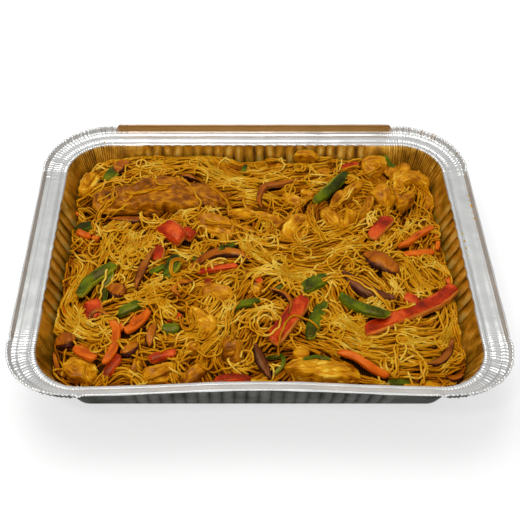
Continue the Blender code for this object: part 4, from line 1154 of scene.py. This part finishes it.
class Heap:
    """The heap's surface as a raster of heights, raised by each noodle laid on it."""

    def __init__(self):
        self.nx = int(OPENING_X / CELL) + 3
        self.ny = int(OPENING_Y / CELL) + 3
        i, j = np.meshgrid(np.arange(self.nx), np.arange(self.ny), indexing="ij")
        self.x = (i - self.nx // 2) * CELL
        self.y = (j - self.ny // 2) * CELL
        self.bed = heap_height(self.x, self.y) - BED_DEPTH
        self.level = self.bed.copy()
        self.food = np.full(self.level.shape, -1e3)
        reach = int(STRAND_R / CELL) + 1
        offsets = [(a, b) for a in range(-reach, reach + 1) for b in range(-reach, reach + 1)]
        self.stamp = [(a, b) for a, b in offsets if math.hypot(a, b) * CELL < STRAND_R + 0.2]

    def index(self, x, y):
        """The raster's cell at each place."""
        i = np.rint(np.asarray(x) / CELL).astype(int) + self.nx // 2
        j = np.rint(np.asarray(y) / CELL).astype(int) + self.ny // 2
        return np.clip(i, 0, self.nx - 1), np.clip(j, 0, self.ny - 1)

    def cover(self, piece):
        """Notes where a topping lies, and how high."""
        x, y, _ = (np.array([v.co for v in piece.data.vertices]) / MM).T
        (i0, i1), (j0, j1) = self.index([x.min(), x.max()], [y.min(), y.max()])
        part = np.s_[i0:i1 + 1, j0:j1 + 1]
        places = np.stack([self.x[part].ravel(), self.y[part].ravel()], axis=1)
        tops = tops_below(piece.data, places).reshape(self.food[part].shape)
        self.food[part] = np.fmax(self.food[part], tops)

    def lay(self, x, y, over):
        """Heights of a noodle's points, resting on what is there. It bridges dips, as a stiff line does."""
        # The food leaves an uneven gap along the wall
        margin = WALL_GAP + STRAND_R + EDGE_GAP * (1 + np.sin(x / 5.3 + 1.0) * np.cos(y / 4.1))
        x, y = keep_inside(x, y, FOOD_Z, margin)
        i, j = self.index(x, y)
        need = self.level[i, j] + 0.75 * STRAND_R
        if over:
            need = np.maximum(need, self.food[i, j] + 0.85 * STRAND_R)
        z = need.copy()
        for _ in range(STIFFNESS):
            z = np.maximum(need - 0.15, eased(z))
        if not over:
            z = np.minimum(z, self.bed[i, j] + BED_DEPTH + PILE)
        x, y = keep_inside(x, y, z, margin)
        for a, b in self.stamp:
            top = z + math.sqrt(max(STRAND_R**2 - (math.hypot(a, b) * CELL) ** 2, 0))
            np.maximum.at(self.level, (np.clip(i + a, 0, self.nx - 1), np.clip(j + b, 0, self.ny - 1)), top)
        return np.stack([x, y, z], axis=1)


class Flow:
    """The way the noodles run at any place, taken from the hanks round about."""

    def __init__(self):
        along_x = np.arange(-FLOW_X, FLOW_X + 1, FLOW_CELL)
        along_y = np.arange(-FLOW_Y, FLOW_Y + 1, FLOW_CELL)
        self.x, self.y = np.meshgrid(along_x, along_y, indexing="ij")
        swirl = np.sin(self.x / 31 + 0.8) + np.cos(self.y / 23 - self.x / 57)
        double_c = 0.06 * np.cos(2 * swirl)
        double_s = 0.06 * np.sin(2 * swirl)
        for number, points in HANKS:
            line = even_line(points, 5, 3)[0]
            ways = np.gradient(line, axis=0)
            for (px, py), (wx, wy) in zip(line, ways):
                angle = 2 * math.atan2(wy, wx)
                near = number / 10 * np.exp(-((self.x - px) ** 2 + (self.y - py) ** 2) / 120)
                double_c += near * math.cos(angle)
                double_s += near * math.sin(angle)
        self.angle = np.arctan2(double_s, double_c) / 2

    def at(self, x, y, heading):
        """The flow's angle at a place, the way round that is nearer to the heading."""
        i = min(max(int(round((x + FLOW_X) / FLOW_CELL)), 0), self.angle.shape[0] - 1)
        j = min(max(int(round((y + FLOW_Y) / FLOW_CELL)), 0), self.angle.shape[1] - 1)
        turn = (self.angle[i, j] - heading + math.pi / 2) % math.pi - math.pi / 2
        return heading + turn


def split_hidden(heap, path, over):
    """The stretches of a noodle that aren't buried in a topping."""
    if over:
        return [path]
    i, j = heap.index(path[:, 0], path[:, 1])
    buried = heap.food[i, j] > path[:, 2] - 0.4
    stretches = []
    start = 0
    for k in range(1, len(path) + 1):
        if k == len(path) or buried[k] != buried[start]:
            if not buried[start] and k - start > 3:
                stretches.append(path[max(start - 2, 0):k + 2])
            start = k
    return stretches


def drift(count, rng, size, wave):
    """A slow sideways wander along so many points."""
    s = np.arange(count)
    total = np.zeros(count)
    for share in (1.0, 0.5):
        total += share * np.sin(2 * np.pi * s * share / wave / 0.7 + rng.uniform(0, 6.3))
    return size * total / 1.5


def lay_side_by_side(heap, number, line, rng, out, pitch, wander, over=False, trim=0.12):
    """Noodles side by side on a line, each wandering a little and cut short by up to trim at each end."""
    side = directions(line)[1]
    count = len(line)
    order = list(range(number))
    rng.shuffle(order)
    for k in order:
        away = (k - (number - 1) / 2) * pitch + drift(count, rng, wander, rng.uniform(24, 60))
        away += drift(count, rng, rng.uniform(0.1, 0.7), rng.uniform(7, 16))
        path = line + side * away[:, None]
        path = path[int(rng.uniform(0, trim) * count):count - int(rng.uniform(0, trim) * count)]
        if len(path) > 4:
            placed = heap.lay(path[:, 0], path[:, 1], over)
            tone = rng.random()
            out += [(stretch, tone) for stretch in split_hidden(heap, placed, over)]


def lay_tuft(heap, flow, x, y, rng, out, most):
    """A few noodles that run together with the flow of their neighbours, from both sides of a place."""
    stray = rng.random() < 0.3
    start = flow.at(x, y, rng.uniform(0, 2 * math.pi)) + (rng.uniform(-1.2, 1.2) if stray else 0)
    arms = []
    for heading in (start + math.pi, start):
        px, py = x, y
        arm = []
        curl = rng.choice((-1, 1)) * rng.choice((0.0, 0.01, 0.02, 0.04, 0.10 if stray else 0.03))
        for step in range(int(rng.uniform(8, 26))):
            if not stray:
                heading += 0.3 * (flow.at(px, py, heading) - heading)
            heading += curl * STRAND_STEP * (1 if step % 16 < 10 else -0.6)
            px += math.cos(heading) * STRAND_STEP
            py += math.sin(heading) * STRAND_STEP
            if inside(np.array([px]), np.array([py]), FOOD_Z)[0][0] < -1:
                break
            arm.append((px, py))
        arms.append(arm)
    line = arms[0][::-1] + [(x, y)] + arms[1]
    if len(line) < 8:
        return
    line = np.array(line)
    for _ in range(3):
        line[1:-1] = 0.5 * line[1:-1] + 0.25 * (line[:-2] + line[2:])
    number = 1 if stray else rng.randint(3, most)
    lay_side_by_side(heap, number, line, rng, out, pitch=1.4, wander=1.0, trim=0.2)


def lay_curl(heap, x, y, rng, out):
    """One loose noodle that wanders, and now and then curls round on itself."""
    heading = rng.uniform(0, 2 * math.pi)
    bend = rng.gauss(0, 0.05)
    ring = rng.random() < 0.3
    line = []
    for step in range(rng.randint(22, 52)):
        bend = min(max(bend + rng.gauss(0, 0.03), -MOST_BEND), MOST_BEND)
        tight = ring and 10 < step < 34
        heading += (math.copysign(MOST_BEND, bend) if tight else bend) * CURL_STEP
        x += math.cos(heading) * CURL_STEP
        y += math.sin(heading) * CURL_STEP
        if inside(np.array([x]), np.array([y]), FOOD_Z)[0][0] < 0:
            break
        line.append((x, y))
    if len(line) > 10:
        line = np.array(line)
        placed = heap.lay(line[:, 0], line[:, 1], False)
        tone = rng.uniform(0.5, 1.0)
        out += [(stretch, tone) for stretch in split_hidden(heap, placed, False)]


def bare_places(heap, rng, number):
    """Places in the heap where the bed still shows, in random order."""
    open_bed = (heap.level < heap.bed + 0.6) & (heap.food < heap.bed + 1)
    gap = inside(heap.x, heap.y, FOOD_Z)[0]
    i, j = np.nonzero(open_bed & (gap > 2.5))
    picks = rng.sample(range(len(i)), min(number, len(i)))
    return [(heap.x[i[k], j[k]], heap.y[i[k], j[k]]) for k in picks]


def strand_mesh(name, strands, heap, finish, sides):
    """Many noodles as one mesh of thin tubes with closed ends."""
    angles = np.arange(sides) * 2 * np.pi / sides
    verts = []
    quads = []
    caps = []
    tones = []
    first = 0
    for path, tone in strands:
        ways = directions(path)[0]
        side = np.stack([-ways[:, 1], ways[:, 0], 0 * ways[:, 0]], axis=1)
        side /= np.linalg.norm(side, axis=1)[:, None] + TINY
        up = np.cross(side, ways) * -1
        ring = side[:, None] * np.cos(angles)[None, :, None] + up[:, None] * np.sin(angles)[None, :, None]
        verts.append((path[:, None] + STRAND_R * ring).reshape(-1, 3))
        count = len(path)
        quads.append(ring_quads(count, sides, first))
        caps.append(np.arange(first, first + sides)[::-1])
        last = first + (count - 1) * sides
        caps.append(np.arange(last, last + sides))
        # Painted shade: noodles lower above the bed get a darker tone
        i, j = heap.index(path[:, 0], path[:, 1])
        height = path[:, 2] - heap.bed[i, j]
        level = 0.04 + 0.42 * tone + 0.46 * smooth(height / (BED_DEPTH + 1.8))
        tones.append(np.repeat(level, sides))
        first += count * sides
    numbers = {"tone": np.concatenate(tones)}
    return new_piece(name, np.concatenate(verts), np.concatenate(quads), caps, [finish], numbers)


def make_core(heap, finish):
    """The body of the heap under the noodles that show: a closed block with the bed as its top."""
    x, y, nx, ny = (edge_samples()[key][::5] for key in ("x", "y", "nx", "ny"))
    count = len(x)
    rings = []
    for z, share in CORE_SIDE:
        away = -wall_inset(z) - WALL_GAP - 1.0
        px = (x + nx * away) * share
        py = (y + ny * away) * share
        rings.append(np.stack([px, py, 0 * x + z], axis=1))
    px, py, _ = rings.pop().T
    for share in np.linspace(1.0, 0.03, CORE_RINGS):
        z = heap_height(px * share, py * share) - BED_DEPTH
        rings.append(np.stack([px * share, py * share, z], axis=1))
    verts = np.concatenate(rings)
    caps = [np.arange(count)[::-1], np.arange((len(rings) - 1) * count, len(rings) * count)]
    quads = ring_quads(len(rings), count)
    return new_piece("noodle_bed", verts, quads, caps, [finish], {"tone": np.full(len(verts), 0.05)})


def make_noodles(heap, materials):
    """The heap's core and, laid on it in turn, tufts, hanks, more tufts, curls and single noodles."""
    rng = random.Random(SEED)
    flow = Flow()
    layers = {"noodles_lower": [], "noodles_hanks": [], "noodles_upper": [], "noodles_curls": []}
    rounds, places, most = LOWER_TUFTS
    for _ in range(rounds):
        for x, y in bare_places(heap, rng, places):
            i, j = heap.index(x, y)
            if heap.level[i, j] < heap.bed[i, j] + 0.6:
                lay_tuft(heap, flow, x, y, rng, layers["noodles_lower"], most)
    for number, points in HANKS:
        line = even_line(points, STRAND_STEP, 6)[0]
        lay_side_by_side(heap, number, line, rng, layers["noodles_hanks"], pitch=1.2, wander=1.5)
    rounds, places, most = UPPER_TUFTS
    for _ in range(rounds):
        for x, y in bare_places(heap, rng, places):
            lay_tuft(heap, flow, x, y, rng, layers["noodles_upper"], most)
    for _ in range(CURLS):
        x = rng.uniform(-0.45, 0.45) * OPENING_X
        y = rng.uniform(-0.44, 0.42) * OPENING_Y
        lay_curl(heap, x, y, rng, layers["noodles_curls"])
    for number, points in LOOSE:
        line = even_line(points, RING_STEP, 6)[0]
        lay_side_by_side(
            heap, number, line, rng, layers["noodles_upper"], pitch=1.6, wander=0.5, over=True, trim=0.06
        )
    serve(make_core(heap, packed_noodles()), "noodle", "noodles")
    for name, strands in layers.items():
        sides = HIDDEN_SIDES if name == "noodles_lower" else STRAND_SIDES
        serve(strand_mesh(name, strands, heap, materials["noodle"], sides), "noodle", "noodles")


def make_bits(heap, materials):
    """The small bits of each kind, as one piece for each, laid on the noodles."""
    for kind in KINDS:
        parts = []
        for number, (bit, width, thick, spine) in enumerate(BITS):
            if bit != kind:
                continue
            line, length = even_line(spine, TOPPING_STEP, LEAST_RINGS)
            line = np.stack(keep_inside(*line.T, FOOD_Z, width / 2 + 1.5), axis=1)
            i, j = heap.index(line[:, 0], line[:, 1])
            rise = KINDS[kind]["arch"] * width
            tops = heap_height(line[:, 0], line[:, 1]) - KINDS[kind]["sink"] + thick + rise
            tops = np.maximum(tops, heap.food[i, j] + 0.4 * thick)
            for _ in range(6):
                tops = np.maximum(tops, eased(tops))
            parts.append(topping_mesh(f"{kind}_{number}", kind, width, thick, 0, line, length, tops))
        if parts:
            verts, quads, caps, numbers = join_parts(parts)
            press_in(verts)
            piece = new_piece(f"{kind}_bits", verts, quads, caps, [materials[kind]], numbers)
            serve(piece, kind)
            heap.cover(piece)


def make_drops():
    """Small drops of sauce splashed on the rim, as flat domes a little sunk into the foil."""
    rng = random.Random(SEED)
    verts = []
    quads = []
    caps = []
    for x, y, radius in DROPS:
        raised = abs(x) > OPENING_X / 2 + STEP_AT or y > OPENING_Y / 2 + STEP_AT
        z = RIM_Z + (STEP_RISE if raised else 0.0)
        first = len(verts)
        stretch = rng.uniform(1.0, 1.9)
        for share, rise in DOME:
            for k in range(DROP_SIDES):
                a = 2 * math.pi * k / DROP_SIDES
                verts.append((
                    x + radius * share * math.cos(a), y + radius * share * stretch * math.sin(a),
                    z + radius * rise,
                ))
        quads.append(ring_quads(len(DOME), DROP_SIDES, first))
        caps.append(np.arange(first, first + DROP_SIDES)[::-1])
        caps.append(np.arange(len(verts) - DROP_SIDES, len(verts)))
    piece = new_piece("sauce_drops", np.array(verts), np.concatenate(quads), caps, [sauce_drop()], {})
    serve(piece, "noodle")


def make_stage():
    """A plain pale floor, soft studio light from above and the camera at the photograph's place."""
    made, tree, shader = start_material("matt white board")
    # The board is lit from below as well, so shadows on it stay pale
    wire(tree, shader, {
        "Base Color": linear("B4B4B3"), "Roughness": 0.9, "Emission Color": linear("FFFFFF"),
        "Emission Strength": 0.58,
    })
    size = 4.0
    corners = [(-size, -size, 0), (size, -size, 0), (size, size, 0), (-size, size, 0)]
    floor = new_piece("floor", np.array(corners) / MM, [(0, 1, 2, 3)], [], [made], {})
    floor.location.z = -0.0002

    for name, place, size, power in LAMPS:
        data = bpy.data.lights.new(name, "AREA")
        data.shape = "SQUARE"
        data.size = size
        data.energy = power
        obj = bpy.data.objects.new(name, data)
        obj.location = place
        obj.rotation_euler = (Vector((0, 0, 0)) - Vector(place)).to_track_quat("-Z", "Y").to_euler()
        bpy.context.scene.collection.objects.link(obj)

    world = bpy.data.worlds.new("studio")
    bpy.context.scene.world = world
    world.use_nodes = True
    tree = world.node_tree
    way = add(tree, "TexCoord", out="Generated")
    height = add(tree, "SeparateXYZ", {"Vector": way}, out="Z")
    shade = add(
        tree, "ValToRGB", {"Fac": height},
        ((0.0, "7C7C7E"), (0.45, "9A9A9C"), (0.66, "D2D2D2"), (0.82, "E2E2E2"), (1.0, "8C8C8E")),
    )
    # Soft patches of light and shade, about 25 degrees wide, which the bare foil mirrors
    patch = add(tree, "TexNoise", {"Vector": way, "Scale": 2.6, "Detail": 1.0})
    strength = add(tree, "MapRange", {
        "Value": patch, "From Min": 0.35, "From Max": 0.65, "To Min": 0.8, "To Max": 1.2,
    })
    wire(tree, tree.nodes["Background"], {"Color": shade, "Strength": strength})

    camera = bpy.data.objects.new("camera", bpy.data.cameras.new("camera"))
    camera.data.lens = CAMERA_LENS
    camera.data.shift_x = CAMERA_SHIFT
    camera.data.clip_start = 0.01
    camera.location = [v * MM for v in CAMERA_AT]
    camera.rotation_euler = (math.radians(90 - CAMERA_PITCH), 0, 0)
    bpy.context.scene.collection.objects.link(camera)
    bpy.context.scene.camera = camera
    bpy.context.scene.view_settings.view_transform = "Standard"


def main():
    """The whole picture: the tray, the food in it from the largest pieces down, and the studio."""
    materials = make_materials()
    make_tray([materials["foil"], materials["foil inside"]])
    heap = Heap()
    for kind, rows in TOPPINGS.items():
        for name, *shape in rows:
            make_topping(heap, materials, kind, f"{kind}_{name}", *shape)
    make_bits(heap, materials)
    make_noodles(heap, materials)
    make_drops()
    make_stage()


main()
